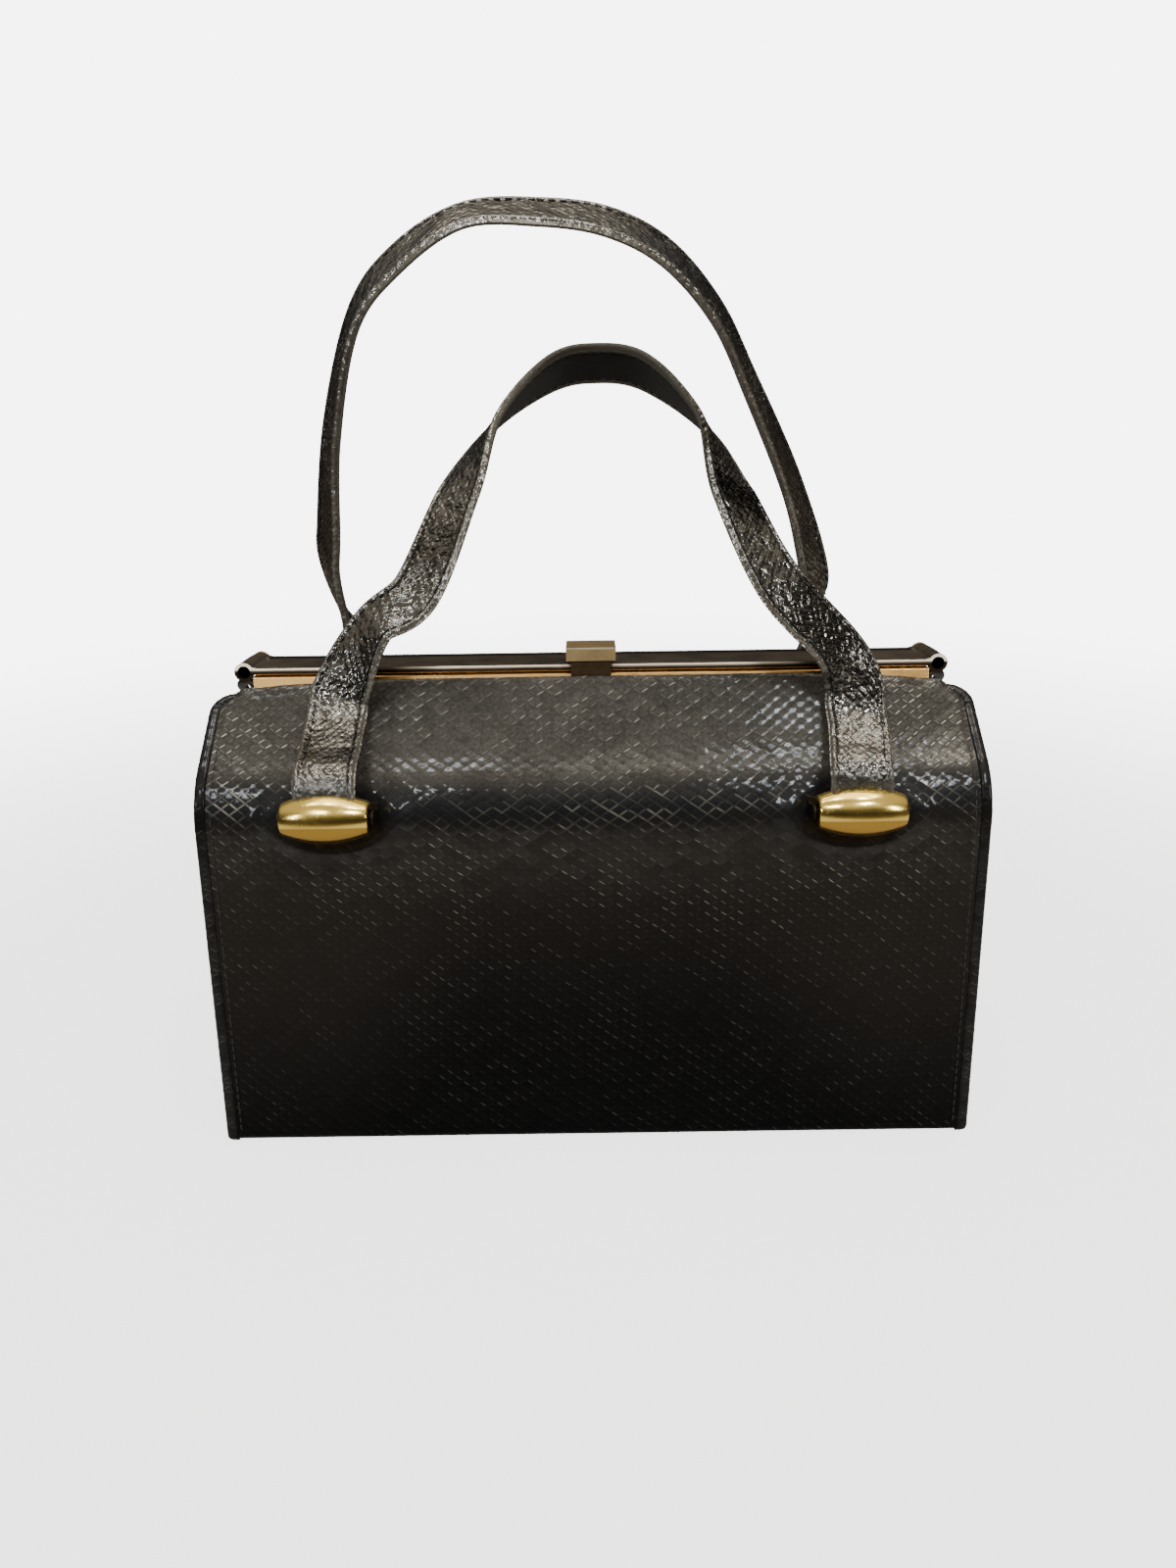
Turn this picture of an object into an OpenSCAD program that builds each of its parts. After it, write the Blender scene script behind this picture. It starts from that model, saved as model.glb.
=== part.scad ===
/* [Body] */
// Width of the bag across its base
base_w = 254; // [236:1:290]
// How much narrower the bag is at its shoulders than at its base
taper = 6; // [0:0.5:14]
// Depth of the bag from front to back, over the leather
depth = 90; // [84:1:104]
// Height at which the walls begin to bend in towards the frame
shoulder_z = 113; // [104:1:118]
// Outer radius of that bend
shoulder_r = 24; // [21:1:27]
// Radius of the rounded upper corners of the panels
corner_r = 8; // [6:1:13]
// Radius of the roll along the foot of each wall
foot_r = 3; // [2.6:0.1:3.4]

/* [Leather, board and lining] */
// Thickness of the outer leather
leather_t = 1.2; // [0.9:0.1:1.5]
// Thickness of the stiffening board
board_t = 1.6; // [1.2:0.1:2]
// Thickness of the lining cloth and its paper backing
lining_t = 0.8; // [0.5:0.1:1]
// Width of the welt sewn along the side edges of the panels
welt_w = 3.6; // [2.6:0.2:4.4]
// Height of the welt above the leather
welt_proud = 0.4; // [0.2:0.1:0.6]
// Gap between soft pieces that flex past one another
soft_gap = 0.3; // [0.2:0.05:0.5]

/* [Gussets] */
// Thickness of the gusset leather
gusset_t = 1; // [0.8:0.1:1.3]
// Deepest point of the fold down the middle of each gusset
gusset_fold = 12; // [6:1:14]
// Height of the top edge of the gussets
gusset_top_z = 111; // [100:1:112]

/* [Frame] */
// Height of the line on which the leather is held by the frame
clinch_z = 151.8; // [149:0.2:154]
// Distance of that line from the middle of the bag
clinch_y = 8.5; // [8.3:0.1:9]
// How far the metal channels stop short of each shoulder
frame_inset = 14.1; // [13:0.1:16]
// Thickness of the channel metal
channel_t = 0.8; // [0.6:0.1:1]
// Radius of the rolled leather edge in the front channel
front_bead_r = 2.9; // [2.5:0.1:3]
// Radius of the rolled leather edge in the back channel
back_bead_r = 1.5; // [1:0.1:1.6]
// Height of the hinge pins at the ends of the frame
hinge_z = 106; // [100:0.5:108]
// Width of the frame arms
arm_w = 5; // [4:0.5:6]
// Thickness of the frame arms
arm_t = 1.2; // [0.8:0.1:1.3]
// Radius of the hinge pins
hinge_pin_r = 1; // [0.8:0.1:1.2]
// Depth of the top plate
plate_d = 23; // [22:0.2:23.4]
// Thickness of the top plate
plate_t = 1.4; // [1:0.1:1.8]
// Thickness of the strip under the top plate
under_t = 0.8; // [0.6:0.1:1]
// Outer radius of the curled ends of the top plate
curl_r = 2.9; // [2.4:0.1:3.1]
// Running gap between the frame's moving pieces
frame_gap = 0.3; // [0.25:0.05:0.4]

/* [Clasp] */
// Width of the lift-up clasp cap
cap_w = 16.1; // [14:0.1:18]
// Depth of the cap from front to back
cap_d = 11; // [10.6:0.1:12]
// Height of the cap
cap_h = 4.3; // [4.1:0.1:5]
// Wall thickness of the cap
cap_t = 0.9; // [0.7:0.1:1]
// Width of the hook block under the cap
hook_w = 13; // [10:0.5:13.4]
// Radius of the clasp pin
clasp_pin_r = 0.6; // [0.5:0.05:0.7]

/* [Handles] */
// Distance between the two fittings of one handle, centre to centre
handle_span = 162; // [150:1:170]
// Width of the straps
strap_w = 19; // [16:0.5:20]
// Thickness of a strap's outer leather
strap_top_t = 1.4; // [1:0.1:1.6]
// Thickness of a strap's lining
strap_lining_t = 1; // [0.7:0.1:1.1]
// Height of the front handle's highest point
front_apex_z = 250; // [240:1:262]
// Height of the back handle's highest point
back_apex_z = 291; // [280:1:302]

/* [Barrel fittings] */
// Length of a barrel
barrel_l = 26.7; // [25:0.1:28]
// Radius at the middle of a barrel
barrel_r = 7.5; // [7.2:0.1:8]
// Radius at the ends of a barrel
barrel_end_r = 5.1; // [4.6:0.1:5.6]
// Radius of the pin through a barrel
barrel_pin_r = 1.2; // [1:0.1:1.3]
// Place of the fittings on the shoulder bend, in degrees above level
barrel_angle = 16; // [12:1:20]
// Thickness of the mounting plate and its two ears
mount_t = 1; // [0.8:0.1:1.2]
// Radius of a rivet's shank
rivet_r = 1; // [0.8:0.1:1.1]
// Height of a rivet's head
rivet_head_h = 0.8; // [0.6:0.1:0.9]

/* [Hidden] */
$fn = 64;

// Small clearances and overruns
pin_gap = 0.05;
glue_gap = 0.05;
seam_gap = 0.4;
cut = 1;
bend_steps = 12;
corner_steps = 8;

// Widths that follow the base
shoulder_w = base_w - taper;
gusset_x = shoulder_w / 2 - welt_w - gusset_t - seam_gap;
channel_w = shoulder_w - 2 * frame_inset;

// Geometry of one wall: a foot roll, an upright face, a bend and a slope up to the frame
half_d = depth / 2;
foot_y = half_d - foot_r;
bend_y = half_d - shoulder_r;
to_clinch = [bend_y - clinch_y, clinch_z - shoulder_z];
bend_a = asin(shoulder_r / norm(to_clinch)) + atan2(to_clinch.x, to_clinch.y);
slope_run = sqrt(norm(to_clinch) ^ 2 - shoulder_r ^ 2);
slope_dir = [sin(bend_a), cos(bend_a)];
board_depth = leather_t + board_t;
wall_t = board_depth + lining_t;

// Where the panel stops short of the frame, and the narrower tongue goes on into the channel
channel_in = front_bead_r + frame_gap;
channel_out = channel_in + channel_t;
edge_gap = 0.5;
edge_run = slope_run - (channel_out + edge_gap) / slope_dir.x;
edge_z = slope_point(0, edge_run).y;
board_end_run = edge_run - channel_in;
tongue_w = channel_w - 2 * channel_t;
board_foot_z = 2 * foot_r;
board_w = 2 * (gusset_x - gusset_fold * wall_t / half_d - soft_gap);

// Frame heights
lip_z = clinch_z;
inner_lip_z = clinch_z - 1.7 * channel_in;
front_channel_top_z = clinch_z + channel_out;
under_z = front_channel_top_z + frame_gap;
plate_z = under_z + under_t;
plate_top_z = plate_z + plate_t;
curl_x = channel_w / 2 + frame_gap / 3 + curl_r;
curl_z = plate_z + 0.3 * plate_t;
arm_cap_top_z = curl_z - curl_r;
arm_in_x = channel_w / 2;
arm_out_x = arm_in_x + arm_t + frame_gap;
arm_a = atan2(hinge_z - clinch_z, clinch_y);
arm_l = norm([clinch_y, clinch_z - hinge_z]);
arm_eye_r = 0.6 * arm_w;
pin_head_t = 0.9;
pin_head_r = 1.8 * hinge_pin_r;

// Clasp places, measured from the front edge of the frame
hook_y = clinch_y + channel_out;
hook_t = 1.4;
hook_lap = 0.8;
hook_foot_z = front_channel_top_z - hook_lap;
tongue_z = plate_top_z + 0.5 * plate_t;
tongue_t = 0.8;
tongue_reach = 2;
tongue_back_y = plate_d / 2 - tongue_reach;
lug_h = 0.7;
cap_rise = 1.2;
pivot_rise = 1.2;
pivot_inset = 1.6;
cap_front_y = hook_y + hook_t + frame_gap;
cap_z = tongue_z + cap_rise;
cap_back_y = cap_front_y - cap_d;
clasp_pivot_y = cap_back_y + pivot_inset;
clasp_pivot_z = cap_z + pivot_rise;
cheek_t = 0.8;
cheek_r = 1.5;
cheek_x = cap_w / 2 - cap_t - frame_gap;
housing_base_t = 0.6;
spring_r = 1.1;
spring_l = cap_w / 2;

// Barrel fitting places, measured from the middle of the shoulder bend
barrel_gap = 0.4;
axis_r = shoulder_r + mount_t + barrel_r + barrel_gap;
barrel_y = bend_y + axis_r * cos(barrel_angle);
barrel_z = shoulder_z + axis_r * sin(barrel_angle);
mount_d = 8;
mount_w = barrel_l + 2 * (frame_gap + mount_t);
backing_r = sqrt((shoulder_r - wall_t) ^ 2 - (mount_d / 2) ^ 2) - mount_t - glue_gap;
ear_r = 2.2;
rivet_x = barrel_l / 3;
rivet_head_r = 2 * rivet_r;
slot_foot = 3;
slot_gap = 0.3;
strap_foot = slot_foot + slot_gap;

// Route of a strap's foot, from the barrel over the shoulder, shared by both handles.
// A row is [across, out, up] and then the way the outer face looks. Across is a share of half the
// span, out a share of the barrel's distance from the middle of the bag, and up a share of the
// slope height between the barrel's middle and the frame.
foot_shares = [
    [1, 1, 0.00, 0, -1.00, 0.10],
    [1, 0.985, 0.25, 0, -0.95, 0.30],
    [1, 0.900, 0.42, 0, -0.60, 0.80],
    [1, 0.765, 0.51, 0, -0.45, 0.90],
    [1, 0.605, 0.66, 0, -0.55, 0.83]];

// Front handle above the shoulder, left to right: up is a share of the rise from frame to apex
front_shares = [
    [-0.994, 0.490, -0.045, 0, -0.75, 0.66],
    [-0.975, 0.420, 0.03, 0, -0.80, 0.60],
    [-0.840, 0.380, 0.225, -0.35, -0.62, 0.70],
    [-0.670, 0.320, 0.33, -0.40, -0.80, 0.45],
    [-0.515, -0.040, 0.61, -0.60, -0.70, 0.35],
    [-0.375, -0.345, 0.817, -0.78, 0, 0.60],
    [-0.155, -0.555, 0.965, -0.30, 0.55, 0.78],
    [0.030, -0.600, 1.00, 0, 0.62, 0.78],
    [0.240, -0.570, 0.968, 0.30, 0.55, 0.78],
    [0.475, -0.370, 0.80, 0.78, 0, 0.60],
    [0.572, -0.040, 0.600, 0.60, -0.70, 0.35],
    [0.727, 0.320, 0.345, 0.45, -0.80, 0.38],
    [0.955, 0.380, 0.14, 0.25, -0.76, 0.58],
    [1.025, 0.420, 0.03, 0, -0.84, 0.54],
    [1.030, 0.490, -0.045, 0, -0.75, 0.66]];

// Back handle, drawn as a front one and then mirrored to the back
back_shares = [
    [-1.012, 0.500, -0.03, -0.20, -0.75, 0.60],
    [-1.030, 0.490, 0.03, -0.82, -0.50, 0.30],
    [-1.052, 0.425, 0.11, -0.94, 0.28, 0.12],
    [-1.078, 0.270, 0.25, -0.86, 0.49, 0.10],
    [-1.054, 0.175, 0.35, -0.86, 0.50, 0.10],
    [-0.988, 0.020, 0.57, -0.93, 0.36, 0.05],
    [-0.855, -0.150, 0.80, -0.88, 0.30, 0.30],
    [-0.680, -0.225, 0.915, -0.55, 0.42, 0.70],
    [-0.435, -0.260, 0.995, -0.15, 0.38, 0.92],
    [-0.160, -0.260, 1.00, 0.05, 0.40, 0.91],
    [0.080, -0.250, 0.98, 0.20, 0.42, 0.88],
    [0.290, -0.215, 0.92, 0.45, 0.40, 0.80],
    [0.475, -0.140, 0.807, 0.74, 0.34, 0.60],
    [0.610, -0.045, 0.665, 0.87, 0.31, 0.35],
    [0.815, 0.130, 0.425, 0.91, 0.38, 0.15],
    [0.955, 0.300, 0.185, 0.83, 0.53, 0.12],
    [1.000, 0.470, 0.055, 0.93, -0.30, 0.22],
    [1.010, 0.500, -0.03, 0.10, -0.75, 0.66]];
strap_steps = 3;

// A point on the slope of a wall's outer face: how deep inside the leather, how far up the slope
function slope_point(inset, run) =
    [-bend_y, shoulder_z] + (shoulder_r - inset) * [-cos(bend_a), sin(bend_a)] + run * slope_dir;

// The side view of one layer surface, from a foot height up to a run along the slope
function wall_line(inset, foot_z, run) = concat(
    [[-(half_d - inset), foot_z]],
    [for (i = [0 : bend_steps]) let (a = bend_a * i / bend_steps)
        [-bend_y, shoulder_z] + (shoulder_r - inset) * [-cos(a), sin(a)]],
    [slope_point(inset, run)]);

function reversed(list) = [for (i = [len(list) - 1 : -1 : 0]) list[i]];

// Half of a panel seen from the front, drawn in from its side edge by an inset
function panel_half(inset) = let (r = corner_r - inset, slope = slope_dir.y) concat(
    [[0, 0], [base_w / 2 - inset, 0], [shoulder_w / 2 - inset, shoulder_z]],
    [for (i = [0 : corner_steps]) let (a = 90 * i / corner_steps)
        [shoulder_w / 2 - corner_r + r * cos(a), edge_z - (corner_r - r * sin(a)) * slope]],
    [[0, edge_z]]);

// A side-view outline stretched across the bag
module across(w) {
    rotate([90, 0, 90])
        linear_extrude(w, center = true)
            children();
}

// The space in front of a panel's outline, inset from its edge
module panel_space(inset) {
    for (side = [0, 1])
        mirror([side, 0, 0])
            rotate([90, 0, 0])
                linear_extrude(half_d + cut)
                    polygon(panel_half(inset));
}

// One layer of a wall as a bent sheet
module wall_sheet(inset, t, foot_z, run, w) {
    across(w)
        polygon(concat(wall_line(inset, foot_z, run), reversed(wall_line(inset + t, foot_z, run))));
}

// Places things at the four rivets of one wall, pointing out along the bend's radius
module at_rivets() {
    for (side = [-1, 1], end = [-1, 1])
        translate([side * handle_span / 2 + end * rivet_x, -bend_y, shoulder_z])
            rotate([90 - barrel_angle, 0, 0])
                children();
}

module rivet_holes() {
    at_rivets()
        cylinder(h = shoulder_r + 2 * mount_t, r = rivet_r + pin_gap, $fn = 24);
}

// Places things at the two barrels of one wall, with the barrel axis along X
module at_barrels() {
    for (side = [-1, 1])
        translate([side * handle_span / 2, -barrel_y, barrel_z])
            children();
}

module behind() {
    mirror([0, 1, 0])
        children();
}

// Outer leather of one wall, with the roll at its foot and the tongue that the frame holds
module wall_leather(bead_r) {
    color([0.08, 0.07, 0.07])
        difference() {
            union() {
                intersection() {
                    wall_sheet(0, leather_t, foot_r, edge_run, base_w);
                    panel_space(welt_w);
                }
                across(tongue_w)
                    polygon([slope_point(0, edge_run - leather_t), slope_point(0, slope_run),
                             slope_point(leather_t, slope_run), slope_point(leather_t, edge_run - leather_t)]);
                across(tongue_w)
                    translate([-clinch_y, clinch_z])
                        circle(bead_r);
                across(base_w - 2 * welt_w)
                    translate([-foot_y, foot_r])
                        circle(foot_r);
            }
            rivet_holes();
        }
}

// Raised welt down both side edges of a panel
module wall_welt() {
    color([0.06, 0.05, 0.05])
        difference() {
            intersection() {
                wall_sheet(-welt_proud, leather_t + 2 * welt_proud, foot_r, edge_run, base_w);
                panel_space(0);
            }
            for (side = [0, 1])
                mirror([side, 0, 0])
                    translate([0, cut, 0])
                        rotate([90, 0, 0])
                            linear_extrude(half_d + 3 * cut)
                                polygon(concat([[-cut, -cut]], [panel_half(welt_w)[1] - [0, cut]],
                                               [for (i = [1 : corner_steps + 3]) panel_half(welt_w)[i]],
                                               [[shoulder_w / 2 - corner_r, edge_z + cut], [-cut, edge_z + cut]]));
        }
}

module wall_board() {
    color([0.45, 0.38, 0.3])
        difference() {
            wall_sheet(leather_t, board_t, board_foot_z, board_end_run, board_w);
            rivet_holes();
        }
}

module wall_lining() {
    color([0.2, 0.16, 0.14])
        difference() {
            wall_sheet(board_depth, lining_t, board_foot_z, board_end_run, board_w);
            rivet_holes();
        }
}

module front_leather() {
    wall_leather(front_bead_r);
}

module front_welt() {
    wall_welt();
}

module front_board() {
    wall_board();
}

module front_lining() {
    wall_lining();
}

module back_leather() {
    behind() wall_leather(back_bead_r);
}

module back_welt() {
    behind() wall_welt();
}

module back_board() {
    behind() wall_board();
}

module back_lining() {
    behind() wall_lining();
}

// Half depth of the base, where its edge stays clear of the foot rolls
base_half_d = foot_y - foot_r - soft_gap;

module base_slab(w, z, t) {
    translate([-w / 2, -base_half_d, z])
        cube([w, 2 * base_half_d, t]);
}

module base_leather() {
    color([0.08, 0.07, 0.07])
        base_slab(base_w - 2 * welt_w, 0, leather_t);
}

module base_board() {
    color([0.45, 0.38, 0.3])
        base_slab(board_w, leather_t, board_t);
}

module base_lining() {
    color([0.2, 0.16, 0.14])
        base_slab(board_w, board_depth, lining_t);
}

// Side gusset: a sheet with a fold down its middle and a seam flange along each side
gusset_levels = 12;
gusset_foot_z = 2 * foot_r + soft_gap;
gusset_y = half_d - leather_t - soft_gap;
flange_x = shoulder_w / 2 - welt_w;

function gusset_ring(level) =
    let (s = level / gusset_levels,
         z = gusset_foot_z + s * (gusset_top_z - gusset_foot_z),
         fold = gusset_fold * sin(180 * s),
         y = gusset_y, t = gusset_t, x = gusset_x)
    [[flange_x, -y, z], [x, -y, z], [x - fold, 0, z], [x, y, z], [flange_x, y, z],
     [flange_x, y - t, z], [x + t, y - t, z], [x + t - fold, 0, z], [x + t, t - y, z],
     [flange_x, t - y, z]];

ring_n = 10;

// Side faces of a stack of rings, as triangles
function skin(n, rings) = [for (i = [0 : rings - 2], j = [0 : n - 1])
    let (a = i * n + j, b = i * n + (j + 1) % n, c = a + n, d = b + n)
    each [[a, b, d], [a, d, c]]];

// End faces of the gusset, one strip at a time, at the ring that starts at a given point
function gusset_cap(first, flip) = [for (j = [0 : 3])
    let (q = [first + j, first + j + 1, first + ring_n - 2 - j, first + ring_n - 1 - j])
    each (flip ? [[q[0], q[2], q[1]], [q[0], q[3], q[2]]] : [[q[0], q[1], q[2]], [q[0], q[2], q[3]]])];

module gusset() {
    color([0.07, 0.06, 0.06]) {
        polyhedron(
            points = [for (i = [0 : gusset_levels]) each gusset_ring(i)],
            faces = concat(
                [for (f = skin(ring_n, gusset_levels + 1)) reversed(f)],
                gusset_cap(0, true),
                [for (f = gusset_cap(gusset_levels * ring_n, true)) reversed(f)]));
        translate([gusset_x, -base_half_d, leather_t])
            cube([gusset_t, 2 * base_half_d, gusset_foot_z - leather_t]);
    }
}

module right_gusset() {
    gusset();
}

module left_gusset() {
    mirror([1, 0, 0]) gusset();
}

// Metal channel that holds the leather's rolled edge; the back one is taller under the plate
module channel(top_z) {
    across(channel_w)
        difference() {
            translate([-clinch_y - channel_out, inner_lip_z])
                square([2 * channel_out, top_z - inner_lip_z]);
            translate([-clinch_y - channel_in, inner_lip_z - cut])
                square([2 * channel_in, clinch_z + channel_in - inner_lip_z + cut]);
            translate([-clinch_y - channel_out - cut, inner_lip_z - cut])
                square([channel_out + cut, lip_z - inner_lip_z + cut]);
        }
}

module front_channel() {
    color([0.78, 0.62, 0.32])
        channel(front_channel_top_z);
}

module back_channel() {
    color([0.78, 0.62, 0.32])
        behind() channel(under_z);
}

// A frame arm: an end cap on the channel and a bar down to the hinge pin
module arm(x) {
    for (side = [0, 1])
        mirror([side, 0, 0])
            translate([x, 0, 0])
                difference() {
                    rotate([90, 0, 90])
                        linear_extrude(arm_t) {
                            translate([-clinch_y - channel_out, clinch_z])
                                square([2 * channel_out, arm_cap_top_z - clinch_z]);
                            translate([-clinch_y - channel_t, inner_lip_z])
                                square([channel_out + channel_t, arm_cap_top_z - inner_lip_z]);
                            translate([-clinch_y, clinch_z])
                                rotate(arm_a)
                                    translate([0, -arm_w / 2])
                                        square([arm_l, arm_w]);
                            translate([0, hinge_z])
                                circle(arm_eye_r);
                        }
                    translate([-cut, 0, hinge_z])
                        rotate([0, 90, 0])
                            cylinder(h = arm_t + 2 * cut, r = hinge_pin_r + pin_gap, $fn = 32);
                }
}

module front_arms() {
    color([0.7, 0.56, 0.3])
        arm(arm_in_x);
}

module back_arms() {
    color([0.7, 0.56, 0.3])
        behind() {
            arm(arm_out_x);
            for (side = [0, 1])
                mirror([side, 0, 0])
                    translate([arm_in_x, -clinch_y - channel_out, clinch_z])
                        cube([arm_out_x - arm_in_x, 2 * channel_out, arm_cap_top_z - clinch_z]);
        }
}

module hinge_pins() {
    shank = 2 * arm_t + 3 * frame_gap;
    color([0.65, 0.55, 0.35])
        for (side = [0, 1])
            mirror([side, 0, 0])
                translate([arm_in_x - frame_gap, 0, hinge_z])
                    rotate([0, 90, 0]) {
                        cylinder(h = shank, r = hinge_pin_r, $fn = 32);
                        translate([0, 0, -pin_head_t])
                            cylinder(h = pin_head_t, r = pin_head_r, $fn = 32);
                        translate([0, 0, shank])
                            cylinder(h = pin_head_t, r = pin_head_r, $fn = 32);
                    }
}

module under_plate() {
    y = plate_d / 2 - under_t;
    color([0.8, 0.66, 0.38])
        translate([-channel_w / 2, -y, under_z])
            cube([channel_w, 2 * y, under_t]);
}

// Top plate with its two ends curled into tubes
module top_plate() {
    color([0.3, 0.26, 0.21]) {
        difference() {
            translate([-curl_x, -plate_d / 2, plate_z])
                cube([2 * curl_x, plate_d, plate_t]);
            for (side = [-1, 1])
                translate([side * curl_x, 0, curl_z])
                    rotate([90, 0, 0])
                        cylinder(h = plate_d + cut, r = curl_r - channel_t, center = true, $fn = 48);
        }
        for (side = [-1, 1])
            translate([side * curl_x, 0, curl_z])
                rotate([90, 0, 0])
                    difference() {
                        cylinder(h = plate_d, r = curl_r, center = true, $fn = 48);
                        cylinder(h = plate_d + cut, r = curl_r - channel_t, center = true, $fn = 48);
                    }
    }
}

// Hook on the front of the frame, with a tongue that reaches back under the cap
module clasp_hook() {
    color([0.32, 0.27, 0.2])
        across(hook_w)
            polygon([
                [-hook_y, hook_foot_z], [-hook_y, tongue_z], [-tongue_back_y, tongue_z],
                [-tongue_back_y, tongue_z + tongue_t + lug_h],
                [-tongue_back_y - tongue_t, tongue_z + tongue_t + lug_h],
                [-tongue_back_y - tongue_t, tongue_z + tongue_t],
                [-hook_y - hook_t, tongue_z + tongue_t], [-hook_y - hook_t, hook_foot_z]]);
}

module clasp_housing() {
    color([0.4, 0.33, 0.22])
        difference() {
            union() {
                translate([-cheek_x, -clasp_pivot_y - cheek_r, plate_top_z])
                    cube([2 * cheek_x, 2 * cheek_r, housing_base_t]);
                for (side = [-1, 1])
                    translate([side * (cheek_x - cheek_t / 2), 0, 0])
                        across(cheek_t) {
                            translate([-clasp_pivot_y, clasp_pivot_z])
                                circle(cheek_r, $fn = 32);
                            translate([-clasp_pivot_y - cheek_r, plate_top_z])
                                square([2 * cheek_r, clasp_pivot_z - plate_top_z]);
                        }
            }
            clasp_bore();
        }
}

module clasp_bore() {
    translate([0, -clasp_pivot_y, clasp_pivot_z])
        rotate([0, 90, 0])
            cylinder(h = cap_w + cut, r = clasp_pin_r + pin_gap, center = true, $fn = 32);
}

// Lift-up cap, hollow below and behind, with a pawl in front of the hook's lug
module clasp_lever() {
    inner_w = cap_w - 2 * cap_t;
    pawl_z = tongue_z + tongue_t + lug_h + frame_gap;
    color([0.68, 0.56, 0.36]) {
        difference() {
            translate([-cap_w / 2, -cap_front_y, cap_z])
                cube([cap_w, cap_d, cap_h]);
            translate([-inner_w / 2, -cap_front_y + cap_t, cap_z - cut])
                cube([inner_w, cap_d, cap_h - cap_t + cut]);
            clasp_bore();
        }
        translate([-inner_w / 2, -tongue_back_y - 2 * tongue_t - frame_gap, pawl_z])
            cube([inner_w, tongue_t, cap_z + cap_h - cap_t - pawl_z]);
    }
}

module clasp_pin() {
    color([0.6, 0.5, 0.33])
        translate([0, -clasp_pivot_y, clasp_pivot_z])
            rotate([0, 90, 0])
                cylinder(h = cap_w, r = clasp_pin_r, center = true, $fn = 32);
}

// Closing spring round the clasp pin, with one leg down to the housing
module clasp_spring() {
    color([0.6, 0.6, 0.6])
        difference() {
            union() {
                translate([0, -clasp_pivot_y, clasp_pivot_z])
                    rotate([0, 90, 0])
                        cylinder(h = spring_l, r = spring_r, center = true, $fn = 32);
                translate([-spring_l / 2, -clasp_pivot_y, plate_top_z + housing_base_t])
                    cube([tongue_t, spring_r, clasp_pivot_z - plate_top_z - housing_base_t]);
            }
            clasp_bore();
        }
}

// Places things at the two fittings of one wall, pointing out along the bend's radius
module at_fittings() {
    for (side = [-1, 1])
        translate([side * handle_span / 2, -bend_y, shoulder_z])
            rotate([90 - barrel_angle, 0, 0])
                children();
}

// Flat plate under or over the wall, its near face at a given distance from the bend's middle
module fitting_plate(from_r) {
    translate([-mount_w / 2, -mount_d / 2, from_r])
        cube([mount_w, mount_d, mount_t]);
}

// Mounting plates with an ear at each end of the barrel
module mounts() {
    color([0.75, 0.6, 0.3])
        difference() {
            at_fittings() {
                fitting_plate(shoulder_r);
                for (end = [-1, 1])
                    translate([end * (mount_w - mount_t) / 2, 0, axis_r])
                        rotate([0, 90, 0]) {
                            cylinder(h = mount_t, r = ear_r, center = true, $fn = 32);
                            translate([0, -ear_r, -mount_t / 2])
                                cube([axis_r - shoulder_r, 2 * ear_r, mount_t]);
                        }
            }
            rivet_holes();
            at_barrels()
                rotate([0, 90, 0])
                    cylinder(h = mount_w + cut, r = barrel_pin_r + pin_gap, center = true, $fn = 32);
        }
}

module backing_plates() {
    color([0.6, 0.6, 0.6])
        difference() {
            at_fittings()
                fitting_plate(backing_r);
            rivet_holes();
        }
}

module rivets() {
    outside = shoulder_r + mount_t;
    color([0.7, 0.6, 0.4])
        at_rivets() {
            translate([0, 0, backing_r - rivet_head_h])
                cylinder(h = rivet_head_h, r = rivet_head_r, $fn = 24);
            translate([0, 0, backing_r])
                cylinder(h = outside - backing_r, r = rivet_r, $fn = 24);
            translate([0, 0, outside])
                cylinder(h = rivet_head_h, r = rivet_head_r, $fn = 24);
        }
}

// Turned barrel with a bore for its pin and a slot for the strap's end
module barrels() {
    profile_steps = 10;
    half = barrel_l / 2;
    color([0.86, 0.66, 0.25])
        at_barrels()
            difference() {
                rotate([0, 90, 0])
                    rotate_extrude($fn = 64)
                        polygon(concat([[0, -half]],
                            [for (i = [-profile_steps : profile_steps]) let (s = i / profile_steps)
                                [barrel_r - (barrel_r - barrel_end_r) * s ^ 2, s * half]],
                            [[0, half]]));
                rotate([0, 90, 0])
                    cylinder(h = barrel_l + cut, r = barrel_pin_r + pin_gap, center = true, $fn = 32);
                translate([-strap_w / 2 - slot_gap, -strap_top_t - slot_gap, slot_foot])
                    cube([strap_w + 2 * slot_gap, strap_top_t + strap_lining_t + 3 * slot_gap, barrel_r]);
            }
}

module barrel_pins() {
    color([0.75, 0.6, 0.3])
        at_barrels()
            rotate([0, 90, 0])
                cylinder(h = mount_w, r = barrel_pin_r, center = true, $fn = 32);
}

// Places of a strap's route in millimetres
slope_h = clinch_z - barrel_z;
function foot_rows(side) = [for (r = foot_shares)
    [side * r[0] * handle_span / 2, -r[1] * barrel_y, barrel_z + strap_foot + r[2] * (slope_h - strap_foot),
     side * r[3], r[4], r[5]]];
function body_rows(shares, apex_z) = [for (r = shares)
    [r[0] * handle_span / 2, -r[1] * barrel_y, clinch_z + r[2] * (apex_z - clinch_z), r[3], r[4], r[5]]];
function route(shares, apex_z) =
    concat(foot_rows(-1), body_rows(shares, apex_z), reversed(foot_rows(1)));

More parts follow.
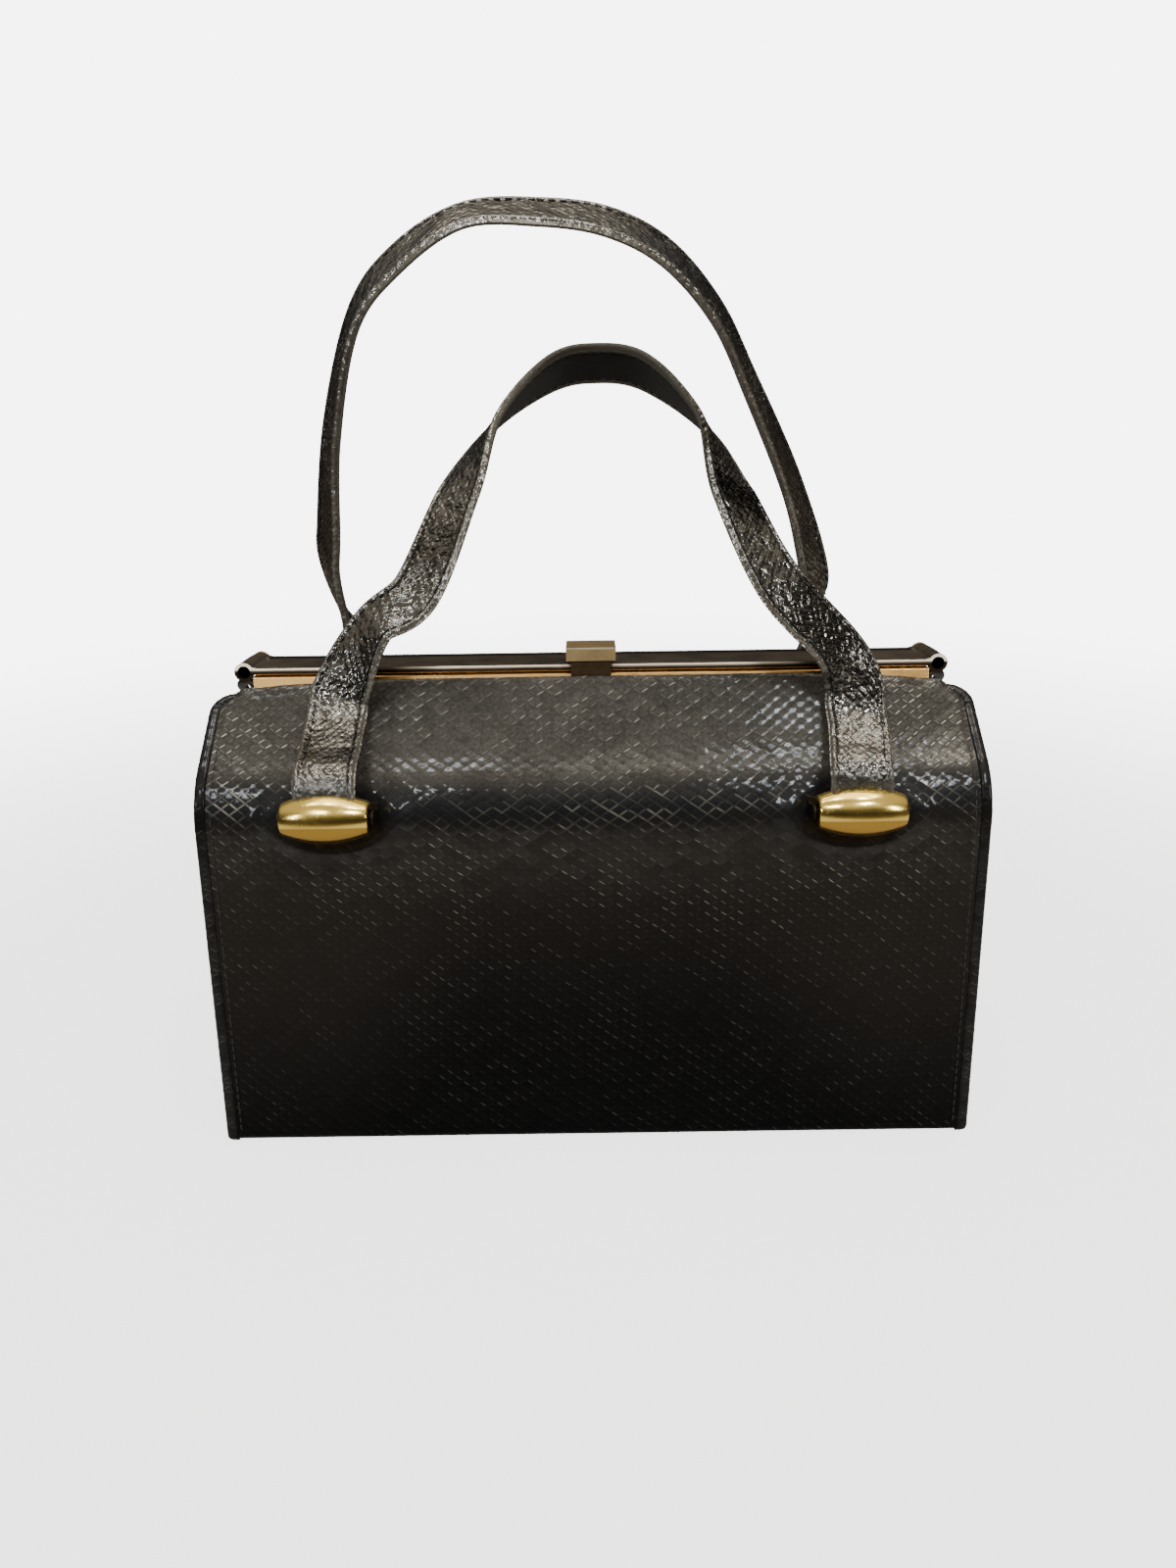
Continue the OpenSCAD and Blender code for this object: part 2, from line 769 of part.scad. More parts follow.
// A smooth curve through the rows of a route
function between(rows, i, t) =
    let (n = len(rows), a = rows[max(i - 1, 0)], b = rows[i], c = rows[min(i + 1, n - 1)],
         d = rows[min(i + 2, n - 1)])
    (2 * b + (c - a) * t + (2 * a - 5 * b + 4 * c - d) * t ^ 2 + (3 * b - a - 3 * c + d) * t ^ 3) / 2;
function smooth(rows) = concat(
    [for (i = [0 : len(rows) - 2], k = [0 : strap_steps - 1]) between(rows, i, k / strap_steps)],
    [rows[len(rows) - 1]]);
function place(row) = [row[0], row[1], row[2]];
function facing(row) = [row[3], row[4], row[5]];
function unit(v) = v / norm(v);

// Four corners of a strap layer at each step, between two heights above its middle surface
function strap_points(rows, low, high) = [for (i = [0 : len(rows) - 1])
    let (p = place(rows[i]),
         along = unit(place(rows[min(i + 1, len(rows) - 1)]) - place(rows[max(i - 1, 0)])),
         out = unit(facing(rows[i]) - (facing(rows[i]) * along) * along),
         side = cross(along, out) * strap_w / 2)
    each [p - side + low * out, p + side + low * out, p + side + high * out, p - side + high * out]];

// Side faces of a strap layer. Both layers split their shared surface along the same diagonals
function strap_skin(rings) = [for (i = [0 : rings - 2], j = [0 : 3])
    let (a = i * 4 + j, b = i * 4 + (j + 1) % 4, c = a + 4, d = b + 4)
    each (j == 2 ? [[a, b, c], [b, d, c]] : [[a, b, d], [a, d, c]])];

module strap(rows, low, high) {
    points = strap_points(rows, low, high);
    last = len(points) - 4;
    polyhedron(points = points, faces = concat(
        strap_skin(len(rows)),
        [[0, 3, 2], [0, 2, 1]],
        [[last, last + 1, last + 2], [last, last + 2, last + 3]]));
}

front_rows = smooth(route(front_shares, front_apex_z));
back_rows = smooth(route(back_shares, back_apex_z));

module front_strap() {
    color([0.1, 0.09, 0.09])
        strap(front_rows, glue_gap, strap_top_t);
}

module front_strap_lining() {
    color([0.16, 0.13, 0.12])
        strap(front_rows, -strap_lining_t, 0);
}

module back_strap() {
    color([0.1, 0.09, 0.09])
        behind() strap(back_rows, glue_gap, strap_top_t);
}

module back_strap_lining() {
    color([0.16, 0.13, 0.12])
        behind() strap(back_rows, -strap_lining_t, 0);
}

module front_mounts() {
    mounts();
}

module front_rivets() {
    rivets();
}

module front_backing_plates() {
    backing_plates();
}

module front_barrels() {
    barrels();
}

module front_barrel_pins() {
    barrel_pins();
}

module back_mounts() {
    behind() mounts();
}

module back_rivets() {
    behind() rivets();
}

module back_backing_plates() {
    behind() backing_plates();
}

module back_barrels() {
    behind() barrels();
}

module back_barrel_pins() {
    behind() barrel_pins();
}

base_leather();
base_board();
base_lining();
left_gusset();
right_gusset();
front_leather();
front_welt();
front_board();
front_lining();
back_leather();
back_welt();
back_board();
back_lining();
front_channel();
front_arms();
back_channel();
back_arms();
hinge_pins();
under_plate();
top_plate();
clasp_hook();
clasp_housing();
clasp_lever();
clasp_pin();
clasp_spring();
front_mounts();
front_rivets();
front_backing_plates();
front_barrels();
front_barrel_pins();
front_strap();
front_strap_lining();
back_mounts();
back_rivets();
back_backing_plates();
back_barrels();
back_barrel_pins();
back_strap();
back_strap_lining();
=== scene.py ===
"""A hand-held frame purse in scale-embossed leather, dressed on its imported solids."""

import math

import bpy
import numpy as np
from mathutils import Matrix, Vector


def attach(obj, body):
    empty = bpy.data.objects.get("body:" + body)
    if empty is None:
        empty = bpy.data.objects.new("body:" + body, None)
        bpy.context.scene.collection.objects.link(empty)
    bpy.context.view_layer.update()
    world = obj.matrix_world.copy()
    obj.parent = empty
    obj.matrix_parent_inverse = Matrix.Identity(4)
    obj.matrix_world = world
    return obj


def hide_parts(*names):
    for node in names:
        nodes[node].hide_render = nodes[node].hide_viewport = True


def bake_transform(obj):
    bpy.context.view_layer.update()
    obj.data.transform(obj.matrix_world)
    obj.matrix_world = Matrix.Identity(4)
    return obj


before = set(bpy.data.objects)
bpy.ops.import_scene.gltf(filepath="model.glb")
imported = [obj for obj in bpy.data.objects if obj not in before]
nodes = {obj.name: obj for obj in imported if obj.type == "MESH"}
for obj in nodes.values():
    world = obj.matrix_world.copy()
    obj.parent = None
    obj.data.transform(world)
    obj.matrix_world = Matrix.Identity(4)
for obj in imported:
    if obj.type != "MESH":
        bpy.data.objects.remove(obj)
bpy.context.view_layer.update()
MM = 0.001

# The place from which the purse is seen: close in front of it and a little
# above its clasp, looking down by 20 degrees, with the horizon a touch askew.
eye_data = bpy.data.cameras.new("eye")
eye_data.lens = 27
eye_data.sensor_width = 36
eye_data.clip_start = 0.01
eye = bpy.data.objects.new("eye", eye_data)
bpy.context.scene.collection.objects.link(eye)
look_down, askew = math.radians(20), math.radians(-0.8)
eye.matrix_world = (Matrix.Translation(Vector((-1.5, -383.8, 252.6)) * MM)
                    @ Matrix.Rotation(math.pi / 2 - look_down, 4, "X")
                    @ Matrix.Rotation(askew, 4, "Z"))
bpy.context.scene.camera = eye


# The table and the light: a plain pale top that fades into a pale backdrop, a
# wide warm lamp overhead, and small ones in front, over the roof and at the sides.
class Shade:
    """A number, colour or vector that varies over a surface."""

    def __init__(self, finish, socket):
        self.finish, self.socket = finish, socket

    def calc(self, operation, *values):
        return self.finish.node("ShaderNodeMath", {"operation": operation},
                                dict(enumerate(values)))

    def __add__(self, other):
        return self.calc("ADD", self, other)

    def __sub__(self, other):
        return self.calc("SUBTRACT", self, other)

    def __rsub__(self, other):
        return self.calc("SUBTRACT", other, self)

    def __mul__(self, other):
        return self.calc("MULTIPLY", self, other)

    def __pow__(self, other):
        return self.calc("POWER", self, other)

    __radd__, __rmul__ = __add__, __mul__

    def highest(self, other):
        return self.calc("MAXIMUM", self, other)

    def part(self):
        return self.calc("FRACT", self)

    def whole(self):
        return self.calc("FLOOR", self)

    def size(self):
        return self.calc("ABSOLUTE", self)

    def wave(self):
        return self.calc("SINE", self)

    def rise(self, low, high):
        """0 below low, 1 above high and an eased step between them."""
        settings = {"interpolation_type": "SMOOTHSTEP"}
        return self.finish.node("ShaderNodeMapRange", settings,
                                {"Value": self, "From Min": low, "From Max": high})

    def band(self, middle, half):
        """1 at the middle value, falling to 0 half a band away from it."""
        return 1 - (self - middle).size().rise(0, half)

    def axes(self):
        cut = self.finish.node("ShaderNodeSeparateXYZ", {}, {0: self}, None)
        return [Shade(self.finish, socket) for socket in cut.outputs]


class Nodes:
    """A tree of shader nodes, built from plain calls."""

    def __init__(self, tree):
        self.tree = tree
        tree.nodes.clear()

    def node(self, kind, settings, sockets, out=0):
        made = self.tree.nodes.new(kind)
        for name, value in settings.items():
            if name == "stops":
                stops = made.color_ramp.elements
                while len(stops) < len(value):
                    stops.new(1)
                for stop, (place, colour) in zip(stops, value):
                    stop.position, stop.color = place, (*colour, 1)
            else:
                setattr(made, name, value)
        for name, value in sockets.items():
            if isinstance(value, Shade):
                self.tree.links.new(value.socket, made.inputs[name])
            else:
                made.inputs[name].default_value = value
        return made if out is None else Shade(self, made.outputs[out])

    def mix(self, share, first, second):
        """The first colour where share is 0 and the second where it is 1."""
        sockets = {0: share}
        for number, colour in ((6, first), (7, second)):
            sockets[number] = colour if isinstance(colour, Shade) else (*colour, 1)
        return self.node("ShaderNodeMix", {"data_type": "RGBA"}, sockets, 2)

    def place(self):
        """Where a point is on the purse, in millimetres."""
        at = self.node("ShaderNodeTexCoord", {}, {}, "Object")
        return self.node("ShaderNodeVectorMath", {"operation": "SCALE"}, {0: at, "Scale": 1000})

    def chart(self, name):
        return self.node("ShaderNodeUVMap", {"uv_map": name}, {})

    def noise(self, at, scale, detail=2, roughness=0.5):
        return self.node("ShaderNodeTexNoise", {}, {
            "Vector": at, "Scale": scale, "Detail": detail, "Roughness": roughness})

    def stretched(self, at, shares):
        return self.node("ShaderNodeVectorMath", {"operation": "MULTIPLY"}, {0: at, 1: shares})

    def join(self, *axes):
        return self.node("ShaderNodeCombineXYZ", {}, dict(enumerate(axes)))


class Finish(Nodes):
    """One finish of the purse: a surface and the nodes that vary it."""

    def __init__(self, name, constants):
        self.material = bpy.data.materials.new(name)
        self.material.use_nodes = True
        super().__init__(self.material.node_tree)
        self.surface = self.node("ShaderNodeBsdfPrincipled", {}, constants, None)
        self.node("ShaderNodeOutputMaterial", {}, {0: Shade(self, self.surface.outputs[0])}, None)

    def set(self, socket, value):
        self.tree.links.new(value.socket, self.surface.inputs[socket])

    def relief(self, height, distance):
        """Small relief, as the surface's own normal: distance is in millimetres."""
        self.set("Normal", self.node("ShaderNodeBump", {}, {
            "Height": height, "Distance": distance * MM}))


def grid_faces(rows, columns, around=False):
    """Four-sided faces of a grid of points, closed across its columns if around."""
    wide = columns if around else columns - 1
    r, c = np.meshgrid(np.arange(rows - 1), np.arange(wide), indexing="ij")
    a = (r * columns + c).ravel()
    b = (r * columns + (c + 1) % columns).ravel()
    return np.stack([a, b, b + columns, a + columns], 1)


def build(name, points, faces, finish, **charts):
    """A smooth mesh from points in millimetres, with any charts of places on it."""
    points = np.asarray(points, float).reshape(-1, 3) * MM
    mesh = bpy.data.meshes.new(name)
    mesh.from_pydata(points.tolist(), [], [list(map(int, f)) for f in faces])
    mesh.shade_smooth()
    corners = np.zeros(len(mesh.loops), np.int32)
    mesh.loops.foreach_get("vertex_index", corners)
    for chart_name, places in charts.items():
        layer = mesh.uv_layers.new(name=chart_name)
        places = np.asarray(places, np.float32).reshape(-1, 2)
        layer.data.foreach_set("uv", places[corners].ravel())
    mesh.materials.append(finish.material)
    made = bpy.data.objects.new(name, mesh)
    bpy.context.scene.collection.objects.link(made)
    return made


table_finish = Finish("table_top", {"Roughness": 0.65, "Specular IOR Level": 0.15})
table_at = table_finish.place()
table_finish.set("Base Color", table_finish.mix(
    table_finish.noise(table_at, 0.004), (0.80, 0.80, 0.79), (0.84, 0.84, 0.83)))
from_purse = table_finish.node("ShaderNodeVectorMath", {"operation": "LENGTH"},
                               {0: table_at}, "Value")
table_finish.set("Alpha", 0.62 * (1 - from_purse.rise(230, 900)))
reach = 6000
table = build("table", [(-reach, -reach, 0), (reach, -reach, 0), (reach, reach, 0),
                        (-reach, reach, 0)], [(0, 1, 2, 3)], table_finish)

world = bpy.data.worlds.new("studio")
world.use_nodes = True
bpy.context.scene.world = world
sky = Nodes(world.node_tree)
height = sky.node("ShaderNodeTexCoord", {}, {}).axes()[2]
room_tone = sky.node("ShaderNodeValToRGB", {"stops": [
    (0.0, (0.22, 0.18, 0.12)), (0.45, (0.10, 0.08, 0.06)), (0.56, (0.03, 0.026, 0.022)),
    (0.72, (0.10, 0.10, 0.10)), (0.86, (0.62, 0.56, 0.46)), (1.0, (0.52, 0.47, 0.39))]},
    {0: height * 0.5 + 0.5})
room = sky.node("ShaderNodeBackground", {}, {"Color": room_tone, "Strength": 1.0})
backdrop = sky.node("ShaderNodeBackground", {}, {"Color": (0.93, 0.93, 0.93, 1), "Strength": 7.0})
seen = sky.node("ShaderNodeLightPath", {}, {}, "Is Camera Ray")
chosen = sky.node("ShaderNodeMixShader", {}, {0: seen, 1: room, 2: backdrop})
sky.node("ShaderNodeOutputWorld", {}, {0: chosen}, None)

lit_spot = Vector((0, 0, 0.12))
for light_name, stands_at, light_size, watts, tint in (
        ("front_left", (-0.36, -0.80, 1.00), (0.24, 0.14), 3.2, (0.88, 0.94, 1.0)),
        ("front_right", (0.34, -0.72, 1.05), (0.22, 0.14), 3.8, (0.88, 0.94, 1.0)),
        ("overhead", (0.05, 0.15, 1.40), (1.2, 0.7), 7, (1.0, 0.90, 0.76)),
        ("roof_left", (-0.19, -0.05, 1.35), (0.11, 0.16), 1.3, (0.84, 0.92, 1.0)),
        ("roof_right", (0.29, -0.25, 1.32), (0.14, 0.14), 1.6, (0.84, 0.92, 1.0)),
        ("corner_right", (0.52, -0.02, 1.30), (0.10, 0.10), 0.6, (1.0, 0.88, 0.66)),
        ("corner_left", (-0.52, 0.02, 1.30), (0.10, 0.10), 1.1, (0.88, 0.94, 1.0)),
        ("side_right", (0.95, -0.75, 0.65), (0.12, 0.30), 2.6, (0.95, 0.95, 0.95)),
        ("side_left", (-0.90, -0.80, 0.60), (0.10, 0.26), 2.0, (0.88, 0.94, 1.0))):
    lamp_data = bpy.data.lights.new(light_name, "AREA")
    lamp_data.shape = "RECTANGLE"
    lamp_data.size, lamp_data.size_y = light_size
    lamp_data.energy, lamp_data.color = watts, tint
    lamp = bpy.data.objects.new(light_name, lamp_data)
    bpy.context.scene.collection.objects.link(lamp)
    lamp.location = stands_at
    lamp.rotation_euler = (lit_spot - Vector(stands_at)).to_track_quat("-Z", "Y").to_euler()


# The outer leather of the two walls: calf pressed with a diamond lattice of
# small snake scales, glazed near-black, bent over the shoulder boards and
# gathered into a soft roll where the metal frame holds it.
base_half, shoulder_half, half_depth = 127, 124, 45
shoulder_z, shoulder_r, foot_r, corner_r, welt_w = 113, 24, 3, 8, 3.6
clinch_y, clinch_z, lip_y, roof_run = 8.5, 151.8, 12.78, 30.2
handle_half, barrel_s = 81, 116.7
upright = shoulder_z - foot_r
to_clinch = (half_depth - shoulder_r - clinch_y, clinch_z - shoulder_z)
bend_a = math.asin(shoulder_r / math.hypot(*to_clinch)) + math.atan2(*to_clinch)
bend_end = upright + shoulder_r * bend_a
sin_a, cos_a = math.sin(bend_a), math.cos(bend_a)
slope_y = half_depth - shoulder_r + shoulder_r * cos_a
corner_s = bend_end + roof_run - corner_r


def ease(low, high, value):
    """0 at low, 1 at high and an eased step between them."""
    share = np.clip((np.asarray(value, float) - low) / (high - low), 0, 1)
    return share * share * (3 - 2 * share)


def on_wall(x, s, h):
    """Points of the front wall: across x, s along its side view from the top of
    the foot roll, and h out of the leather's outer face."""
    x, s, h = np.broadcast_arrays(*(np.asarray(v, float) for v in (x, s, h)))
    roll = np.clip(s, None, 0) / foot_r
    turn = np.clip((s - upright) / shoulder_r, 0, bend_a)
    run = np.clip(s - bend_end, 0, None)
    y = np.where(s < 0, -half_depth + foot_r - (foot_r + h) * np.cos(roll),
                 -(half_depth - shoulder_r) - (shoulder_r + h) * np.cos(turn) + run * sin_a)
    z = np.where(s < 0, foot_r + (foot_r + h) * np.sin(roll),
                 np.where(s < upright, foot_r + s, shoulder_z)
                 + (shoulder_r + h) * np.sin(turn) + run * cos_a)
    return np.stack([x, y, z], -1)


def wall_half(s, inset):
    """Half the width of a wall at s, drawn in from its edge and round the corner."""
    s = np.asarray(s, float)
    climbed = np.clip((s + foot_r) / shoulder_z, 0, 1)
    straight = base_half + (shoulder_half - base_half) * climbed - inset
    radius = corner_r - inset
    lift = np.clip(s - corner_s, 0, radius)
    rounded = shoulder_half - corner_r + np.sqrt(np.clip(radius ** 2 - lift ** 2, 0, None))
    return np.where(s < corner_s, straight, rounded)


def lattice(x, s):
    """Scale numbers across and along the hide, wider apart in its middle."""
    across = (x / 4.5 - 4.2 * np.tanh(x / 95) + 0.22 * np.sin(s / 19 + 0.6)
              + 0.05 * np.sin(x / 6.1 + s / 4.3))
    along = (s / 4.1 - 0.5 * np.sin(s / 34) + 0.4 * np.cos(x / 52 + 0.4)
             + 0.05 * np.sin(x / 5.3 - s / 6.7))
    return across, along


def scales(across, along, seed):
    """Height of the pressed scales, about 0 to 1: each a pillow lifted at its lower edge."""
    a, b = across + along, across - along
    fa, fb = a - np.floor(a), b - np.floor(b)
    tossed = np.random.default_rng(seed).uniform(0.75, 1.1, (64, 64))
    toss = tossed[np.floor(a).astype(int) % 64, np.floor(b).astype(int) % 64]
    pillow = (1 - (2 * fa - 1) ** 8) * (1 - (2 * fb - 1) ** 8)
    tilt = 0.55 * (1 - fa) + 0.45 * fb
    return toss * pillow * (0.35 + 0.8 * tilt)


def waves(x, s, seed, amount):
    """Slow unevenness of a hand-worked surface."""
    draw = np.random.default_rng(seed)
    total = np.zeros(np.broadcast(x, s).shape)
    for _ in range(9):
        fx, fs = draw.normal(0, 1 / 26, 2)
        total += np.sin(fx * x + fs * s + draw.uniform(0, 2 * math.pi))
    return amount * total / 3


def embossed(name, seed, rim_highlight_share, crumple, glaze, turn=None, edge=None, fine=0.9, octaves=4,
             sheen=0.16, rough=0.34, bold=1, ior=1.45, tint=(1, 1, 1)):
    """Glazed black leather whose scales get pale rims, painted highlight where the rims
    would catch the light, varied by patches of wear. turn is the row of scales at a wall's bend:
    below it the falling rims are painted pale, above it the rising ones. edge names the chart
    of how near a strap's turned-in edge is."""
    made = Finish(name, {"IOR": ior, "Specular IOR Level": sheen, "Specular Tint": (*tint, 1),
                         "Coat Roughness": 0.13, "Coat IOR": 1.5})
    u, v, _ = made.chart("chart").axes()
    at = made.place()
    x, _, z = at.axes()
    a, b = u + v, u - v
    fa, fb = a.part(), b.part()
    toss = made.node("ShaderNodeTexWhiteNoise", {"noise_dimensions": "3D"},
                     {"Vector": made.join(a.whole(), b.whole(), seed)}, "Value")
    falling = fa.band(0.09, 0.085) * fb.rise(0.05, 0.3) * (1 - fb.rise(0.45 + 0.15 * toss, 0.85))
    rising = fb.band(0.91, 0.085) * fa.rise(0.05, 0.4) * (1 - fa.rise(0.45 + 0.25 * toss, 0.9))
    cloud = made.noise(at, 0.03, 3).rise(0.35, 0.7)
    grain = made.noise(at, fine, octaves, 0.65)
    crease = made.noise(at, fine / 3, 3, 0.6)
    worn = made.noise(at, 0.035, 3, 0.6).rise(0.36, 0.62)
    if turn:
        above = v.rise(turn - 3, turn + 2)
        sideways, corners = x.size().rise(30, 100), x.size().rise(76, 110)
        calm_z, calm_w, calm_h = 118, 24, 13
        from_barrel = (((x.size() - handle_half) * (1 / calm_w)) ** 2
                       + ((z - calm_z) * (1 / calm_h)) ** 2)
        # Painted highlight: the pale scale rims lie where they would catch the light, as a net
        # along the bend, fainter low on the wall and by the barrels, stronger at the upper corners.
        net = fa.band(0.08, 0.2).highest(0.7 * fb.band(0.92, 0.2)) * v.band(turn - 0.6, 2.8)
        rims = (falling * (1 - 0.8 * above)).highest(rising * (0.1 + 0.9 * above))
        rims = (rims * (0.22 + 0.78 * v.rise(turn - 19, turn - 3))).highest(0.58 * net)
        rims = rims * (0.15 + 0.85 * from_barrel.rise(0.7, 1.9)) * (1 + 2 * corners * above)
        gloss = v.rise(turn - 10, turn - 4)
        # Painted light: the leather's tone gets lighter up the wall and towards its sides.
        tone = made.mix(v.rise(6 - 9.5 * sideways, turn - 8.5 * sideways),
                        (0.0012, 0.0010, 0.0010), (0.021, 0.017, 0.0135))
        # Painted shade: a darker, bluish band along the bend.
        tone = made.mix(v.band(turn - 0.6, 3.5), tone, (0.008, 0.008, 0.0085))
        # Painted sheen: the roof above the bend is painted a lighter warm grey, varied at random.
        roof_sheen = made.mix(0.35 * cloud + 0.45 * grain.rise(0.35, 0.65) + 0.2 * toss,
                             (0.026, 0.022, 0.017), (0.092, 0.084, 0.069))
        tone = made.mix(v.rise(turn + 0.5, turn + 2.5), tone, roof_sheen)
    else:
        rims, gloss = falling.highest(rising), 1.0
        tone = made.mix(cloud, (0.0030, 0.0023, 0.0022), (0.0062, 0.0044, 0.0032))
    # The pale rims: painted highlight, varied by patches of wear.
    wear_and_highlight = rims * (0.10 + 0.90 * toss * toss) * (0.25 + 0.75 * worn) * rim_highlight_share
    roughness = rough + 0.20 * grain + 0.08 * toss
    if edge:
        # Painted highlight: bright glints in patches over the strap.
        glint_patches = made.noise(at, 0.07, 2).rise(0.48, 0.62)
        wear_and_highlight = wear_and_highlight.highest(0.8 * made.noise(at, 0.75, 2, 0.7).rise(0.60, 0.70) * glint_patches)
        # Painted highlight: the turned-in edges are painted pale, as if lit.
        turned_in = made.chart(edge).axes()[0].size().rise(0.80, 0.96)
        tone = made.mix(turned_in * (0.4 + 0.6 * grain), tone, (0.13, 0.115, 0.09))
        roughness = roughness + 0.4 * (1 - z.rise(126, 138))
    made.set("Base Color", made.mix(wear_and_highlight, tone, (0.62, 0.58, 0.48)))
    made.set("Roughness", roughness)
    made.set("Coat Weight", glaze * (0.5 + toss) * (0.12 + 0.88 * gloss))
    step = 0.5 * (1 - fa) + 0.5 * fb - 0.6 * (fa - 0.5) * (fa - 0.5) - 0.6 * (fb - 0.5) * (fb - 0.5)
    made.relief(0.55 * step + (0.1 + 0.6 * crumple) * grain + crumple * crease, 0.30 * bold)
    return made


wall_leather = embossed("embossed_leather", 3.0, 0.62, 0.6, 0.38, 30.0, sheen=0.10)
roll_runs = np.array([0, 4, 8, 12, 16, 20, 24, 27, 29, roof_run, 30.9, 31.2, 31.3, 31.3, 31.2])
roll_rises = {
    "front": np.array([0, .2, .8, 1.8, 3.0, 4.2, 5.35, 6.2, 6.6, 6.45, 5.8, 4.9, 3.9, 2.9, 1.9]),
    "back": np.array([0, .2, .5, .9, 1.3, 1.7, 1.95, 1.9, 1.5, 1.05, 0.6, 0.3, 0.1, 0, -0.1])}


def roofed(side, x, count):
    """Runs and rises of the slope from the bend to the roll at the frame."""
    steps = np.linspace(0, len(roll_runs) - 1, count)
    whole = np.arange(len(roll_runs))
    run = np.interp(steps, whole, roll_runs)
    rise = np.interp(steps, whole, roll_rises[side])
    for _ in range(3):
        run[1:-1] = (run[:-2] + 2 * run[1:-1] + run[2:]) / 4
        rise[1:-1] = (rise[:-2] + 2 * rise[1:-1] + rise[2:]) / 4
    share = 1 - 0.36 * ease(56, 108, np.abs(x)) - 0.14 * ease(100, 114, np.abs(x))
    rise = rise[:, None] * share
    stop = (slope_y - lip_y + cos_a * rise) / sin_a
    return np.minimum(run[:, None] + 0 * x, stop), rise


def dish(x, s):
    """The swelling of the leather below and beside each barrel."""
    dx, ds = np.abs(np.abs(x) - handle_half) / 20, (s - barrel_s) / 12
    swelling = 2.1 * np.exp(-((np.hypot(dx, ds) - 1) / 0.22) ** 2)
    return swelling * (1 - ease(-1, 10, s - barrel_s)) - 0.3 * np.exp(-(dx * 1.5) ** 4 - ds ** 4)


pitch, roof_rows = 0.62, 74
for side, body, jaw, seed, flip in (("front", "front_wall", "front_jaw", 11, 1),
                                    ("back", "back_wall", "back_jaw", 23, -1)):
    shares = np.linspace(-1, 1, int(2 * shoulder_half / pitch))[None, :]
    low_s = np.concatenate([np.linspace(-foot_r * math.pi / 2, 0, 9)[:-1],
                            np.arange(0, bend_end, pitch)])[:, None]
    x_low = shares * wall_half(low_s, welt_w)
    roof_shares = shares + np.zeros((roof_rows, 1))
    run, rise = roofed(side, roof_shares * (shoulder_half - welt_w), roof_rows)
    s_roof = bend_end + run
    x_roof = roof_shares * wall_half(np.minimum(s_roof, corner_s + corner_r - welt_w), welt_w)
    middle = run.shape[1] // 2
    climbed = np.hypot(np.diff(run[:, middle]), np.diff(rise[:, middle]))
    travelled = bend_end + np.concatenate([[0], np.cumsum(climbed)])[:, None] + 0 * x_roof
    x = np.concatenate([x_low, x_roof])
    s = np.concatenate([low_s + 0 * x_low, s_roof])
    h = np.concatenate([np.zeros_like(x_low), rise])
    chart_s = np.concatenate([low_s + 0 * x_low, travelled])
    u, v = lattice(x, chart_s)
    rows_left = roof_rows - np.concatenate([np.zeros(len(low_s)), np.arange(roof_rows)])[:, None]
    h = h + ease(-4, 3, s) * ease(0, 1, rows_left / 9) * (
        0.24 * scales(u, v, seed) - 0.1 + dish(x, s) + waves(x, chart_s, seed, 0.30))
    from_edge = (1 - np.abs(np.concatenate([shares + 0 * low_s, roof_shares]))) * shoulder_half
    points = on_wall(x, s, h * (0.25 + 0.75 * ease(0, 3, from_edge)))
    points[..., 1] *= flip
    leather = build(side + "_wall_leather", points, grid_faces(*x.shape)[:, ::flip],
                    wall_leather, chart=np.stack([u, v], -1))
    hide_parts(side + "_leather")
    if side == "front":
        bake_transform(leather)
    else:
        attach(leather, body)


# The welts: narrow strips of the same leather folded round a cord and sewn
# into the side seams, so that they stand proud down both edges of each wall
# and round its upper corners.
def tube_faces(rows, columns, turned=False):
    """Faces of a tube of rings of points, closed at both ends."""
    faces = [list(f) for f in grid_faces(rows, columns, around=True)]
    faces += [list(range(columns))[::-1], [(rows - 1) * columns + k for k in range(columns)]]
    return [f[::-1] for f in faces] if turned else faces


def joined(parts):
    """Points and faces of several parts, as those of one mesh."""
    faces, start = [], 0
    for points, own_faces in parts:
        faces += [[start + k for k in f] for f in own_faces]
        start += points.size // 3
    return np.concatenate([points.reshape(-1, 3) for points, _ in parts]), faces


welt_finish = embossed("welt_leather", 9.0, 0.15, 1.6, 0.3)
welt_sag = 0.4
path = [(base_half - welt_w + welt_w * math.sin(a), -welt_sag - welt_w * math.cos(a))
        for a in np.linspace(0, 1.4, 8)]
path += [(float(wall_half(s, 0)), s) for s in np.arange(0, corner_s, 1.5)]
path += [(shoulder_half - corner_r + corner_r * math.cos(a), corner_s + corner_r * math.sin(a))
         for a in np.linspace(0, math.pi / 2, 16)]
path = np.array(path)
along = np.gradient(path, axis=0)
along /= np.linalg.norm(along, axis=1)[:, None]
inward = np.stack([-along[:, 1], along[:, 0]], 1)
ring_a = np.linspace(0, 2 * math.pi, 20, endpoint=False)
ring_in = welt_w / 2 - (welt_w / 2) * np.sign(np.cos(ring_a)) * np.abs(np.cos(ring_a)) ** 0.7
ring_up = -0.55 + 1.15 * np.sign(np.sin(ring_a)) * np.abs(np.sin(ring_a)) ** 0.8
welt_v, welt_u = np.meshgrid(np.arange(len(path)) * 0.42, ring_a * 0.45, indexing="ij")
welt_chart = np.stack([welt_u, welt_v], -1)
